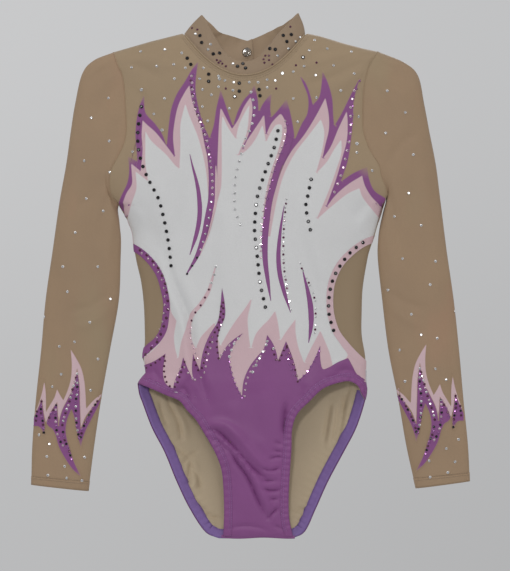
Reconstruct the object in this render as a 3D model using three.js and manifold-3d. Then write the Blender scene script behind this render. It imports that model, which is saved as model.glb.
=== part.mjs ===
// A child's long-sleeved competition gymnastics leotard, hanging as it does on a hanger.
// Millimetres. +Z is up, the front faces -Y, and the wearer's left side is at +X.
// The origin is the hanger seat: on the centre plane, level with the point where
// the shoulder seam meets the collar.
import * as THREE from 'three';
import { mergeVertices } from 'three/addons/utils/BufferGeometryUtils.js';
import Module from 'manifold-3d';

const wasm = await Module();
wasm.setup();

// ---------------------------------------------------------------- dimensions
const fabric = 0.6; // thickness of one layer of stretch fabric
const gap = 0.3; // clearance between stacked layers
const pitch = fabric + gap; // from one layer to the next
const chestHalfDepth = 22; // how far the hanging body bellies out at the chest
const armholeHalfDepth = 16;
const armhole = { middle: -107, halfHeight: 86 }; // z of its middle, and half its height
const yokeRise = 70; // below the shoulder line the body reaches its full depth this far down
const waistSeam = -371; // where the nude body meets the lined brief
const neck = { x: -7, half: 68, z: -2, frontDrop: 47, backDrop: 32, halfDepth: 20 };
const collar = {
  x: -1, half: 54, z: 21, frontDrop: 55, backDrop: 30, frontDepth: 14, backDepth: 18,
};
const collarThickness = 1.2;
const tabStart = 128; // degrees round the neck from centre front to the tabs' roots
const tabGap = 0.5; // degrees
const seamClear = 4; // degrees from the end of the collar seam to a tab's root
const tabLift = 4.6; // how far the outer tab stands off the inner one at the snap
const bindingWidth = 10;
const elasticWidth = 6;
const elasticInset = 2;
const backElasticInset = 8;
const halfSeam = 0.5; // a binding keeps this far from the side seam
const legTop = -396; // the leg bindings and elastics start here at the hip
const pipingRadius = 1;
const keyhole = [[-6, 2], [-6, -40], [-13, -58], [-18, -76], [-16, -90], [-4, -98], [8, -90],
  [10, -76], [5, -58], [-2, -40], [-2, 2]];
const keyholeBinding = { inset: 0.3, width: 5, reach: -120 };
const crotchBottom = { z: -562.5, fold: -564.2, halfDepth: 3.4 };
const snap = { x: -4.7, z: -20, cap: 5.4, socket: 4.6, stud: 1.9, thick: 1.6 };
const cuffHemHeight = 22;
const sleeveCut = gap / 2; // half the slit between two sleeve lengths
// Every layer of the body is drawn on this one grid, so that stacked layers nest.
const grid = { bottom: -566, yoke: -60, rows: 14, columns: 10 };
const gridLevels = [];
for (let i = 0; i <= grid.rows; i++)
  gridLevels.push(grid.bottom + ((grid.yoke - grid.bottom) * i) / grid.rows);
gridLevels.push(-32, -14, -4, 0);
const sleeveSides = 16; // points round a sleeve
const briefSettles = 455; // the brief leaves the flames below it and lies on its lining at this depth

// Side outline of the body from the shoulder tip down to the crotch, [x, z].
const rightArmhole = [[-154, -23], [-144, -48], [-140, -85], [-141, -120], [-149, -141],
  [-158, -158], [-157, -180], [-148, -192]];
const leftArmhole = [[141, -22], [129, -47], [125, -76], [125, -106], [134, -134],
  [144, -150], [145, -162], [152, -181]];
const rightSide = [[-148, -192], [-133, -223], [-124, -277], [-119, -321], [-120, -361],
  [-117, -380], [-127, -393], [-118, -422], [-96, -467], [-81, -512], [-53, -557], [-36, -567]];
const leftSide = [[152, -181], [145, -202], [138, -243], [125, -299], [124, -330], [128, -370],
  [129, -407], [116, -442], [100, -478], [78, -523], [57, -559], [49, -567]];

// Front leg openings, from the hip to the crotch.
const rightLegFront = [[-119, -391], [-106, -396], [-82, -407], [-64, -425], [-50, -449],
  [-37, -474], [-31, -500], [-30, -563]];
const leftLegFront = [[127, -411], [120, -396], [112, -390], [95, -391], [80, -396], [60, -417],
  [49, -430], [45, -474], [41, -515], [42, -563]];

// Upper edges of the flames, from the wearer's right underarm to the left one.
const purpleFlameTop = [[-148, -190], [-138, -170], [-136, -153], [-138, -138], [-127, -144],
  [-129, -114], [-127, -94], [-118, -71], [-117, -90], [-106, -103], [-94, -125], [-92, -105],
  [-89, -86], [-83, -70], [-74, -56], [-57, -32], [-61, -66], [-58, -84], [-46, -117],
  [-42, -105], [-39, -86], [-34, -65], [-29, -78], [-20, -103], [-15, -89], [-8, -76], [4, -60],
  [9, -87], [24, -69], [23, -94], [31, -86], [40, -76], [45, -94], [48, -118], [62, -92],
  [63, -74], [53, -46], [62, -59], [68, -79], [78, -59], [79, -43], [87, -60], [92, -94],
  [93, -103], [107, -78], [125, -47], [115, -78], [114, -99], [108, -145], [101, -165],
  [113, -158], [129, -151], [132, -164], [137, -177], [150, -187]];
const pinkFlameTop = [[-142, -188], [-133, -170], [-133, -159], [-134, -146], [-123, -154],
  [-121, -132], [-122, -116], [-121, -99], [-106, -112], [-85, -138], [-87, -118], [-85, -99],
  [-81, -82], [-68, -60], [-62, -87], [-55, -107], [-47, -146], [-46, -187], [-39, -187],
  [-37, -127], [-36, -105], [-34, -84], [-21, -107], [-15, -99], [-8, -84], [0, -73], [1, -99],
  [-2, -114], [-9, -130], [3, -110], [15, -92], [17, -113], [29, -95], [33, -93], [40, -108],
  [38, -124], [25, -159], [16, -209], [20, -212], [30, -165], [45, -133], [72, -94], [83, -74],
  [87, -94], [87, -110], [80, -140], [97, -108], [107, -88], [107, -122], [95, -165],
  [84, -194], [108, -170], [124, -160], [127, -171], [134, -183], [146, -196]];
const whiteFlameTop = [[-137, -202], [-128, -175], [-129, -155], [-115, -165], [-118, -127],
  [-118, -110], [-94, -137], [-80, -151], [-79, -105], [-73, -80], [-59, -116], [-53, -137],
  [-47, -180], [-48, -210], [-60, -245], [-50, -240], [-38, -215], [-33, -170], [-33, -127],
  [-32, -93], [-17, -118], [-8, -92], [-1, -81], [-4, -112], [-14, -138], [4, -122], [13, -104],
  [17, -121], [30, -102], [34, -126], [20, -165], [10, -215], [12, -290], [24, -215],
  [36, -160], [78, -98], [81, -115], [73, -156], [100, -121], [98, -141], [74, -207],
  [121, -175], [126, -190], [137, -207]];

// The waist: the top of the brief, and the pink flames above it.
const briefTop = [[-119, -374], [-95, -360], [-98, -380], [-87, -398], [-75, -364], [-64, -388],
  [-65, -361], [-56, -377], [-46, -338], [-32, -287], [-29, -318], [-35, -365], [-10, -337],
  [-24, -364], [-10, -405], [0, -373], [18, -339], [30, -366], [39, -345], [52, -388],
  [77, -351], [80, -376], [108, -365], [127, -390]];
const pinkWaistTop = [[-119, -366], [-102, -356], [-93, -340], [-82, -324], [-82, -361],
  [-72, -322], [-41, -273], [-66, -334], [-62, -350], [-41, -326], [-30, -345], [2, -296],
  [-1, -350], [27, -311], [32, -341], [50, -321], [58, -367], [77, -333], [91, -372],
  [107, -361], [119, -366], [127, -376]];

// Flames of one cuff on the wearer's right sleeve, and of the one on the left.
const rightCuffPink = [[-241, -440], [-238, -424], [-231, -388], [-228, -422], [-217, -399],
  [-209, -410], [-202, -354], [-186, -388], [-185, -418], [-168, -402], [-186, -443],
  [-204, -434], [-214, -441], [-231, -437]];
const rightCuffPurple = [[-234, -410], [-225, -424], [-217, -416], [-207, -425], [-194, -375],
  [-190, -420], [-172, -410], [-188, -461], [-190, -496], [-214, -454], [-231, -448]];
const leftCuffPink = [[166, -403], [179, -416], [179, -395], [196, -346], [204, -404],
  [210, -394], [223, -416], [226, -385], [237, -422], [224, -436], [208, -440], [195, -430],
  [183, -440]];
const leftCuffPurple = [[173, -415], [184, -424], [189, -369], [203, -416], [210, -407],
  [222, -428], [226, -404], [232, -425], [226, -448], [206, -457], [185, -490], [183, -459]];

// Ribbons and blades on the white panel: centre line, and widest width.
const accents = {
  accent_blade_right: { line: [[-68, -137], [-58, -181], [-57, -203], [-68, -249]], width: 5 },
  accent_ribbon_long: {
    line: [[38, -135], [24, -171], [17, -209], [15, -239], [21, -298]],
    width: 7,
  },
  accent_blade_centre: { line: [[36, -196], [29, -240], [35, -287], [44, -311]], width: 5 },
  accent_blade_left: { line: [[56, -259], [68, -305], [68, -325], [64, -345]], width: 6 },
  accent_ribbon_chest: {
    line: [[-44, -152], [-44, -190], [-52, -227], [-71, -270]],
    width: 6,
  },
};
const rightSideTrim = [[-131, -240], [-109, -258], [-96, -286], [-94, -318], [-108, -347],
  [-119, -360]];
const leftSideTrim = [[136, -237], [112, -251], [95, -278], [91, -307], [98, -337], [118, -362]];
const bladeTip = 1.2;
const trimWidth = 7;

// Sleeve stations for the wearer's right arm: outer edge, inner edge, half depth.
const rightSleeve = [
  [[-132, -14], [-132, -198], 16], [[-154, -22], [-146, -197], 16],
  [[-178, -31], [-148, -198], 15.5], [[-190, -48], [-148, -199], 15],
  [[-197, -80], [-147, -202], 14.5], [[-202, -112], [-146, -207], 14],
  [[-207, -148], [-145, -215], 13], [[-214, -190], [-144, -230], 12],
  [[-222, -243], [-145, -254], 11], [[-229, -299], [-148, -300], 10],
  [[-235, -355], [-158, -356], 9], [[-241, -411], [-168, -412], 8.5],
  [[-245, -462], [-176, -464], 8], [[-246, -507], [-180, -513], 8],
];
const leftSleeve = [
  [[118, -12], [118, -186], 16], [[141, -20], [142, -190], 16],
  [[172, -33], [150, -193], 15.5], [[187, -48], [150, -196], 15],
  [[194, -80], [149, -198], 14.5], [[200, -112], [147, -202], 14],
  [[207, -148], [145, -210], 13], [[212, -187], [142, -228], 12],
  [[219, -243], [142, -252], 11], [[227, -299], [147, -300], 10],
  [[233, -355], [154, -356], 9], [[238, -411], [165, -410], 8.5],
  [[243, -462], [174, -462], 8], [[245, -502], [184, -510], 8],
];
const shoulderCut = { outer: [203, -122], inner: [148, -200] };
const elbowCut = { outer: -302, inner: -326 }; // z at the far outside, and at x = 100
const belowCuff = -540;
const far = 300; // past the edge of everything

// ---------------------------------------------------------------- materials
const colours = {
  nude: [0x9d8a72, 0.85], nudeMesh: [0x8f7a66, 0.9], white: [0xd8dadb, 0.8], pink: [0xc9a5a9, 0.8],
  purple: [0x7d4a86, 0.7], lining: [0xa89a80, 0.9], elastic: [0xd9d6cf, 0.9], clear: [0xcfd4d6, 0.2],
};
function material(name) {
  const [color, roughness] = colours[name];
  return new THREE.MeshStandardMaterial({ color, roughness, metalness: 0 });
}

// ---------------------------------------------------------------- solids
function solidOf(geometry) {
  const bare = geometry.index ? geometry.clone() : geometry;
  bare.deleteAttribute('normal');
  bare.deleteAttribute('uv');
  const merged = mergeVertices(bare, 1e-4);
  const solid = new wasm.Manifold(new wasm.Mesh({
    numProp: 3,
    vertProperties: new Float32Array(merged.attributes.position.array),
    triVerts: new Uint32Array(merged.index.array),
  }));
  if (solid.volume() > 0) return solid;
  const flipped = merged.index.array;
  for (let i = 0; i < flipped.length; i += 3)
    [flipped[i + 1], flipped[i + 2]] = [flipped[i + 2], flipped[i + 1]];
  return solidOf(merged);
}

function geometryOf(solid) {
  const mesh = solid.getMesh();
  const geometry = new THREE.BufferGeometry();
  geometry.setAttribute('position', new THREE.BufferAttribute(mesh.vertProperties, 3));
  geometry.setIndex(new THREE.BufferAttribute(mesh.triVerts, 1));
  geometry.computeVertexNormals();
  return geometry;
}

// A straight prism along Y with an [x, z] outline, from y = low to y = high.
function prism(outline, low = -60, high = 60) {
  const shape = new THREE.Shape(outline.map(([x, z]) => new THREE.Vector2(x, z)));
  const geometry = new THREE.ExtrudeGeometry(shape, { depth: high - low, bevelEnabled: false });
  geometry.rotateX(Math.PI / 2);
  geometry.translate(0, high, 0);
  return solidOf(geometry);
}

// A closed grid solid: place(u, v, outside) gives the point for u, v in 0..1 on one face.
// Both faces split their cells along the same diagonal, so stacked shells nest.
function shell(columns, rows, place) {
  const position = [];
  const index = [];
  for (const outside of [true, false])
    for (let r = 0; r <= rows; r++)
      for (let c = 0; c <= columns; c++) position.push(...place(c / columns, r / rows, outside));
  const at = (wall, c, r) => wall * (columns + 1) * (rows + 1) + r * (columns + 1) + c;
  const quad = (a, b, c, d) => index.push(a, b, c, a, c, d);
  for (let r = 0; r < rows; r++)
    for (let c = 0; c < columns; c++) {
      quad(at(0, c, r), at(0, c + 1, r), at(0, c + 1, r + 1), at(0, c, r + 1));
      const [a, b, d, e] = [at(1, c, r), at(1, c + 1, r), at(1, c + 1, r + 1), at(1, c, r + 1)];
      index.push(a, d, b, a, e, d);
    }
  for (let c = 0; c < columns; c++) {
    quad(at(0, c, 0), at(1, c, 0), at(1, c + 1, 0), at(0, c + 1, 0));
    quad(at(0, c, rows), at(0, c + 1, rows), at(1, c + 1, rows), at(1, c, rows));
  }
  for (let r = 0; r < rows; r++) {
    quad(at(0, 0, r), at(0, 0, r + 1), at(1, 0, r + 1), at(1, 0, r));
    quad(at(0, columns, r), at(1, columns, r), at(1, columns, r + 1), at(0, columns, r + 1));
  }
  const geometry = new THREE.BufferGeometry();
  geometry.setAttribute('position', new THREE.Float32BufferAttribute(position, 3));
  geometry.setIndex(index);
  return solidOf(geometry);
}

// ---------------------------------------------------------------- the hanging body
const clamp = (value, low, high) => Math.min(high, Math.max(low, value));

// x of an edge given as [x, z] points that run downwards.
function edgeAt(points, z) {
  if (z >= points[0][1]) return points[0][0];
  for (let i = 1; i < points.length; i++) {
    const [x0, z0] = points[i - 1];
    const [x1, z1] = points[i];
    if (z >= z1) return x0 + ((x1 - x0) * (z0 - z)) / (z0 - z1);
  }
  return points[points.length - 1][0];
}
const rightEdge = [...rightArmhole, ...rightSide.slice(1)];
const leftEdge = [...leftArmhole, ...leftSide.slice(1)];

// z of the shoulder line above x.
function shoulderLine(x) {
  const fromNeck = Math.max(0, Math.abs(x - neck.x) - neck.half);
  return neck.z - fromNeck * 0.28;
}

// Half depth of the body along its centre line, at z.
function centreDepth(z) {
  const levels = [[0, chestHalfDepth], [-260, 21], [-390, 20], [-470, 15], [-530, 8], [-567, 3]];
  for (let i = 1; i < levels.length; i++) {
    const [z0, d0] = levels[i - 1];
    const [z1, d1] = levels[i];
    if (z >= z1) return d0 + ((d1 - d0) * (z0 - Math.min(z, 0))) / (z0 - z1);
  }
  return levels[levels.length - 1][1];
}

// Half depth of the body at x, z: nothing at the side seams and shoulder, open at the armholes.
function halfDepth(x, z) {
  const right = edgeAt(rightEdge, z);
  const left = edgeAt(leftEdge, z);
  const across = clamp((2 * x - left - right) / (left - right), -1, 1);
  const up = clamp((z - armhole.middle) / armhole.halfHeight, -1, 1);
  const atArmhole = armholeHalfDepth * (1 - Math.abs(up) ** 3.5) ** (1 / 3.5);
  const below = clamp((shoulderLine(x) - z) / yokeRise, 0, 1);
  const inside = centreDepth(z) * Math.sqrt(1 - (1 - below) ** 2.5);
  const edge = Math.min(atArmhole, inside);
  return edge + (inside - edge) * (1 - Math.abs(across) ** 2.2) ** 0.5;
}

// One layer of the body on the front (face = -1) or the back (face = 1), between the
// offsets `from` and `from + fabric` outside the body surface. Offsets may vary with z.
function bodyLayer(face, from, bottom = grid.bottom, top = 0) {
  const levels = gridLevels.filter((level, i) =>
    (gridLevels[i + 1] ?? 0) >= bottom && (gridLevels[i - 1] ?? bottom) <= top);
  const offset = typeof from === 'function' ? from : () => from;
  return shell(grid.columns, levels.length - 1, (u, v, outside) => {
    const level = levels[Math.round(v * (levels.length - 1))];
    const across = Math.sin((u - 0.5) * Math.PI);
    const right = edgeAt(rightEdge, level);
    const left = edgeAt(leftEdge, level);
    const x = (left + right) / 2 + (across * (left - right)) / 2;
    // The rows above the yoke line fan out to follow the sloping shoulder.
    const z = level + shoulderLine(x) * Math.max(0, 1 - level / grid.yoke);
    return [x, face * (halfDepth(x, z) + offset(z) + (outside ? fabric : 0)), z];
  });
}

// The neck seam in [x, z], from the wearer's right shoulder to the left one.
function neckCurve(face, grow = 0) {
  const drop = face < 0 ? neck.frontDrop : neck.backDrop;
  const points = [];
  for (let i = 0; i <= 12; i++) {
    const angle = (i / 12 - 0.5) * Math.PI;
    const cos = Math.cos(angle);
    points.push([
      neck.x + (neck.half + grow) * Math.sin(angle),
      neck.z - (drop + grow) * cos * cos - grow * 0.3,
    ]);
  }
  return points;
}

// Body outline from the neck seam down to z = bottom.
function bodyOutline(face, bottom) {
  return [
    ...neckCurve(face, 0.4),
    [neck.x + neck.half + 0.5, neck.z],
    ...leftArmhole,
    [far, leftArmhole[leftArmhole.length - 1][1] - 3],
    [far, bottom],
    [-far, bottom],
    [-far, rightArmhole[rightArmhole.length - 1][1] - 3],
    ...[...rightArmhole].reverse(),
    [neck.x - neck.half - 0.5, neck.z],
  ];
}

// Points of a line widened to both sides: widths run from `start` to `end`, with `middle` between.
function ribbon(line, start, middle, end) {
  const curve = new THREE.SplineCurve(line.map(([x, z]) => new THREE.Vector2(x, z)));
  const steps = line.length * 2;
  const one = [];
  const other = [];
  for (let i = 0; i <= steps; i++) {
    const t = i / steps;
    const p = curve.getPoint(t);
    const d = curve.getTangent(t);
    const edge = t < 0.5 ? start : end;
    const width = edge + (middle - edge) * Math.sin(Math.PI * t);
    one.push([p.x - (d.y * width) / 2, p.y + (d.x * width) / 2]);
    other.unshift([p.x + (d.y * width) / 2, p.y - (d.x * width) / 2]);
  }
  return [...one, ...other];
}

// A strip of constant width on one side of an edge, `inset` away from it.
function strip(edge, inset, width, side) {
  const near = [];
  const beyond = [];
  edge.forEach(([x, z], i) => {
    const before = edge[Math.max(0, i - 1)];
    const after = edge[Math.min(edge.length - 1, i + 1)];
    const along = new THREE.Vector2(after[0] - before[0], after[1] - before[1]).normalize();
    const across = new THREE.Vector2(-along.y * side, along.x * side);
    near.push([x + across.x * inset, z + across.y * inset]);
    beyond.unshift([x + across.x * (inset + width), z + across.y * (inset + width)]);
  });
  return [...near, ...beyond];
}

const frontLevel = (level) => gap / 2 + level * pitch;

// ---------------------------------------------------------------- assembly
const leotard = new THREE.Group();
leotard.name = 'gymnastics_leotard';

function add(name, solid, colour, parent = leotard) {
  const mesh = new THREE.Mesh(geometryOf(solid), material(colour));
  mesh.name = name;
  parent.add(mesh);
}

function addBody() {
  const body = new THREE.Group();
  leotard.add(body);
  const front = bodyLayer(-1, frontLevel(0), waistSeam - 20);
  add('front_body', front.intersect(prism(bodyOutline(-1, waistSeam))), 'nude', body);

  const back = bodyLayer(1, frontLevel(0), waistSeam - 20)
    .intersect(prism(bodyOutline(1, waistSeam)))
    .subtract(prism(keyhole));
  add('back_body', back, 'nude', body);
  const rim = strip(keyhole.slice(1, -1), keyholeBinding.inset, keyholeBinding.width, -1);
  const binding = bodyLayer(1, frontLevel(1), keyholeBinding.reach).intersect(prism(rim));
  add('keyhole_binding', binding, 'nude', body);
}

function addFlames() {
  const group = new THREE.Group();
  leotard.add(group);
  const layers = [
    ['flame_purple_applique', purpleFlameTop, 'purple', 1,
      [[148, -200], [84, -216], [60, -165], [20, -140], [-40, -165], [-85, -165], [-110, -180],
        [-146, -203]]],
    ['flame_pink_applique', pinkFlameTop, 'pink', 2,
      [[142, -212], [84, -225], [40, -235], [-20, -235], [-70, -200], [-110, -190], [-138, -208]]],
  ];
  for (const [name, top, colour, level, bottom] of layers) {
    const layer = bodyLayer(-1, frontLevel(level), -260);
    add(name, layer.intersect(prism([...top, ...bottom])), colour, group);
  }
  const whiteBottom = [[107, -246], [91, -275], [87, -307], [94, -337], [112, -362], [91, -374],
    [58, -370], [31, -345], [-1, -353], [-20, -345], [-82, -365], [-104, -350], [-91, -318],
    [-93, -286], [-106, -258], [-131, -236]];
  const white = bodyLayer(-1, frontLevel(3), -390)
    .intersect(prism([...whiteFlameTop, ...whiteBottom]));
  add('white_flame_panel', white, 'white', group);
  for (const [name, { line, width }] of Object.entries(accents)) {
    const outline = ribbon(line, bladeTip, width, bladeTip);
    add(name, bodyLayer(-1, frontLevel(4), -360).intersect(prism(outline)), 'purple', group);
  }
  const trims = [
    ['side_trim_right', rightSideTrim, 'purple'],
    ['side_trim_left', leftSideTrim, 'pink'],
  ];
  for (const [name, line, colour] of trims) {
    const outline = ribbon(line, trimWidth, trimWidth, trimWidth);
    add(name, bodyLayer(-1, frontLevel(4), -380).intersect(prism(outline)), colour, group);
  }
}

// The leg openings seen on one face, as outlines that are cut away from it.
const openRight = [...rightLegFront, [-30, -600], [-far, -600], [-far, -391]];
const openLeft = [...leftLegFront, [42, -600], [far, -600], [far, -411]];

function addBrief() {
  const brief = new THREE.Group();
  leotard.add(brief);
  const pinkWaist = bodyLayer(-1, frontLevel(5), -420);
  const pinkBottom = [[127, -392], [60, -410], [-10, -412], [-90, -405], [-119, -380]];
  add('waist_flame_pink_applique',
    pinkWaist.intersect(prism([...pinkWaistTop, ...pinkBottom])), 'pink', brief);

  // The brief's flame tips lie over the pink; below them it settles onto its lining.
  const settle = (z) => frontLevel(1 + 5 * clamp((z + briefSettles) / 30, 0, 1));
  const briefOutline = [...briefTop, [far, -390], [far, -563], [-far, -563], [-far, -374]];
  const front = bodyLayer(-1, settle)
    .intersect(prism(briefOutline))
    .subtract(prism(openRight))
    .subtract(prism(openLeft));
  add('brief_front', front, 'purple', brief);
  const liningOutline = [[-far, waistSeam - gap], [far, waistSeam - gap], [far, -563], [-far, -563]];
  const lining = bodyLayer(-1, frontLevel(0))
    .intersect(prism(liningOutline))
    .subtract(prism(openRight))
    .subtract(prism(openLeft));
  add('brief_front_lining', lining, 'lining', brief);

  const backTop = [[-far, -378], [-118, -378], [-92, -352], [-70, -374], [-40, -336], [-16, -368],
    [8, -322], [30, -366], [58, -340], [84, -374], [110, -352], [128, -378], [far, -378],
    [far, -563], [-far, -563]];
  add('brief_back', bodyLayer(1, frontLevel(1)).intersect(prism(backTop)), 'purple', brief);
  add('brief_back_lining',
    bodyLayer(1, frontLevel(0)).intersect(prism(liningOutline)), 'lining', brief);

  // Inside the crotch: a cotton liner behind the front lining, and the seam that joins
  // the front and back at the bottom fold.
  const liner = [[-24, -440], [36, -440], [34, -556], [-23, -556]];
  const inside = bodyLayer(-1, frontLevel(-1), grid.bottom, -400);
  add('crotch_liner', inside.intersect(prism(liner)), 'lining', brief);
  const { fold, halfDepth: thick } = crotchBottom;
  const seamOutline = [[-34, fold], [46, fold], [46, grid.bottom], [-34, grid.bottom]];
  add('crotch_seam', prism(seamOutline, -thick, thick), 'purple', brief);
}

// Bindings and elastics of the two leg openings.
function addLegFinish() {
  const finish = new THREE.Group();
  leotard.add(finish);
  const settle = (z) => frontLevel(2 + 5 * clamp((z + briefSettles) / 30, 0, 1));
  const legs = [
    { side: 'right', front: rightLegFront, back: rightSide.slice(6), turn: 1, hip: -360 },
    { side: 'left', front: leftLegFront, back: leftSide.slice(6), turn: -1, hip: -380 },
  ];
  const legBetween = (top) => prism([[-far, top], [far, top], [far, crotchBottom.z],
    [-far, crotchBottom.z]]);
  const addStrip = (name, layer, outline, top, colour) =>
    add(name, layer.intersect(prism(outline)).intersect(legBetween(top)), colour, finish);
  for (const { side, front, back, turn, hip } of legs) {
    addStrip(`leg_binding_front_${side}`, bodyLayer(-1, settle, grid.bottom, hip),
      strip(front, 0, bindingWidth, turn), hip, 'purple');
    addStrip(`leg_binding_back_${side}`, bodyLayer(1, frontLevel(2), grid.bottom, -380),
      strip(back, halfSeam, bindingWidth, turn), legTop, 'purple');
    addStrip(`leg_elastic_front_${side}`, bodyLayer(-1, frontLevel(-2), grid.bottom, hip),
      strip(front.slice(1), elasticInset, elasticWidth, turn), legTop, 'elastic');
    addStrip(`leg_elastic_back_${side}`, bodyLayer(1, frontLevel(-1), grid.bottom, -380),
      strip(back.slice(1), backElasticInset, elasticWidth, turn), legTop, 'elastic');
  }
}

// ---------------------------------------------------------------- collar
// A point on the collar's height at an angle round the neck, 0 at centre front.
function collarPoint(angle, height, out) {
  const sin = Math.sin(angle);
  const cos = Math.cos(angle);
  const front = cos > 0;
  const squared = cos * cos;
  const baseZ = neck.z - (front ? neck.frontDrop : neck.backDrop) * squared + 1;
  const topZ = collar.z - (front ? collar.frontDrop : collar.backDrop) * Math.abs(cos) ** 1.6;
  const baseY = -neck.halfDepth * cos;
  const topY = -(front ? collar.frontDepth : collar.backDepth) * cos;
  const baseX = neck.x + (neck.half - 1.6) * sin;
  const topX = collar.x + collar.half * sin;
  const mix = (a, b) => a + (b - a) * height;
  return [mix(baseX, topX) + sin * out, mix(baseY, topY) - cos * out, mix(baseZ, topZ)];
}

// A stretch of the collar. Its inner face stands `tip` further out at its end than at its start.
function collarBand(fromDegrees, toDegrees, tip = 0) {
  const columns = Math.max(2, Math.round(Math.abs(toDegrees - fromDegrees) / 14));
  return shell(columns, 2, (u, v, outside) => {
    const angle = ((fromDegrees + (toDegrees - fromDegrees) * u) * Math.PI) / 180;
    return collarPoint(angle, v, tip * Math.min(1, 1.6 * u) + (outside ? collarThickness : 0));
  });
}

// A turned piece of the snap, its [radius, y] profile measured from y = from.
function turned(profile, from) {
  const points = profile.map(([r, y]) => new THREE.Vector2(r, y));
  const geometry = new THREE.LatheGeometry(points, 12);
  geometry.translate(snap.x, from, snap.z);
  return solidOf(geometry);
}

function addCollar() {
  const group = new THREE.Group();
  leotard.add(group);
  add('collar_front', collarBand(tabGap - tabStart, tabStart - tabGap), 'nude', group);
  // The left tab closes outside the right one at centre back.
  add('collar_tab_left', collarBand(tabStart, 186, tabLift), 'nude', group);
  add('collar_tab_right', collarBand(360 - tabStart, 172), 'nude', group);

  // Snap: a cap and socket on the left tab, a stud and cap on the right one.
  const base = collarPoint(Math.PI, 0, 0);
  const top = collarPoint(Math.PI, 1, 0);
  const tilt = (top[1] - base[1]) / (top[2] - base[2]);
  const innerFace = base[1] + (snap.z - base[2]) * tilt;
  const between = innerFace + collarThickness;
  const lean = snap.cap * Math.abs(tilt) + gap; // the tabs lean, so the pieces stand this far off
  const { cap, socket, stud } = snap;
  const capProfile = [[0, 0], [cap, 0], [cap - 0.8, 1.5], [0, 1.9], [0, 0]];
  const outerFace = innerFace + tabLift + collarThickness;
  add('snap_cap_outer', turned(capProfile, outerFace + lean), 'clear', group);
  const bore = stud + 0.4;
  const socketProfile = [[bore, 0], [socket, 0], [socket, snap.thick], [bore, snap.thick], [bore, 0]];
  add('snap_socket', turned(socketProfile, innerFace + tabLift - lean - snap.thick), 'clear', group);
  add('snap_stud', turned([[0, 0], [stud, 0], [stud, 2.2], [0, 2.2], [0, 0]], between + lean),
    'clear', group);
  const capInside = [[0, -1.9], [cap - 0.8, -1.5], [cap, 0], [0, 0], [0, -1.9]];
  add('snap_cap_inner', turned(capInside, innerFace - lean), 'clear', group);
}

function addPiping() {
  const ranges = [
    ['collar_seam_front', -72, 72, -1],
    ['collar_seam_back_left', 104, tabStart - seamClear, 1],
    ['collar_seam_back_right', 360 - tabStart + seamClear, 256, 1],
  ];
  for (const [name, from, to, face] of ranges) {
    const points = [];
    for (let i = 0; i <= 8; i++) {
      const angle = ((from + ((to - from) * i) / 8) * Math.PI) / 180;
      const [x, , z] = collarPoint(angle, 0, 0);
      const collarDepth = neck.halfDepth * Math.abs(Math.cos(angle)) + 3.2;
      const depth = Math.max(halfDepth(x, z) + frontLevel(1), collarDepth);
      points.push(new THREE.Vector3(x, face * (depth + pipingRadius + gap), z - 1));
    }
    const section = new THREE.Shape();
    section.absarc(0, 0, pipingRadius, 0, 2 * Math.PI);
    const path = new THREE.CatmullRomCurve3(points);
    const tube = new THREE.ExtrudeGeometry(section, { steps: 8, curveSegments: 8, extrudePath: path });
    add(name, solidOf(tube), 'nude');
  }
}

// ---------------------------------------------------------------- sleeves
function sleeveTube(stations, inner, outer) {
  const around = sleeveSides;
  const rings = stations.length - 1;
  const ringPoint = (station, turn, offset) => {
    const [[ox, oz], [ix, iz], depth] = stations[station];
    const half = Math.hypot(ox - ix, oz - iz) / 2;
    const power = 2 / 3.5;
    const angle = turn * 2 * Math.PI;
    const cos = Math.sign(Math.cos(angle)) * Math.abs(Math.cos(angle)) ** power;
    const sin = Math.sign(Math.sin(angle)) * Math.abs(Math.sin(angle)) ** power;
    const reach = ((half + offset) * cos) / half / 2;
    return [
      (ox + ix) / 2 + (ox - ix) * reach,
      (depth + offset) * sin,
      (oz + iz) / 2 + (oz - iz) * reach,
    ];
  };
  // A closed ring of four-sided section, swept round: outer wall, hem, inner wall, armhole end.
  const position = [];
  const index = [];
  for (const offset of [outer, inner])
    for (let s = 0; s <= rings; s++)
      for (let a = 0; a < around; a++) position.push(...ringPoint(s, a / around, offset));
  const at = (wall, s, a) => (wall * (rings + 1) + s) * around + (a % around);
  const quad = (a, b, c, d) => index.push(a, b, c, a, c, d);
  for (let a = 0; a < around; a++) {
    for (let s = 0; s < rings; s++) {
      quad(at(0, s, a), at(0, s + 1, a), at(0, s + 1, a + 1), at(0, s, a + 1));
      quad(at(1, s, a), at(1, s, a + 1), at(1, s + 1, a + 1), at(1, s + 1, a));
    }
    quad(at(0, 0, a), at(0, 0, a + 1), at(1, 0, a + 1), at(1, 0, a));
    quad(at(0, rings, a), at(1, rings, a), at(1, rings, a + 1), at(0, rings, a + 1));
  }
  const geometry = new THREE.BufferGeometry();
  geometry.setAttribute('position', new THREE.Float32BufferAttribute(position, 3));
  geometry.setIndex(index);
  return solidOf(geometry);
}

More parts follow.
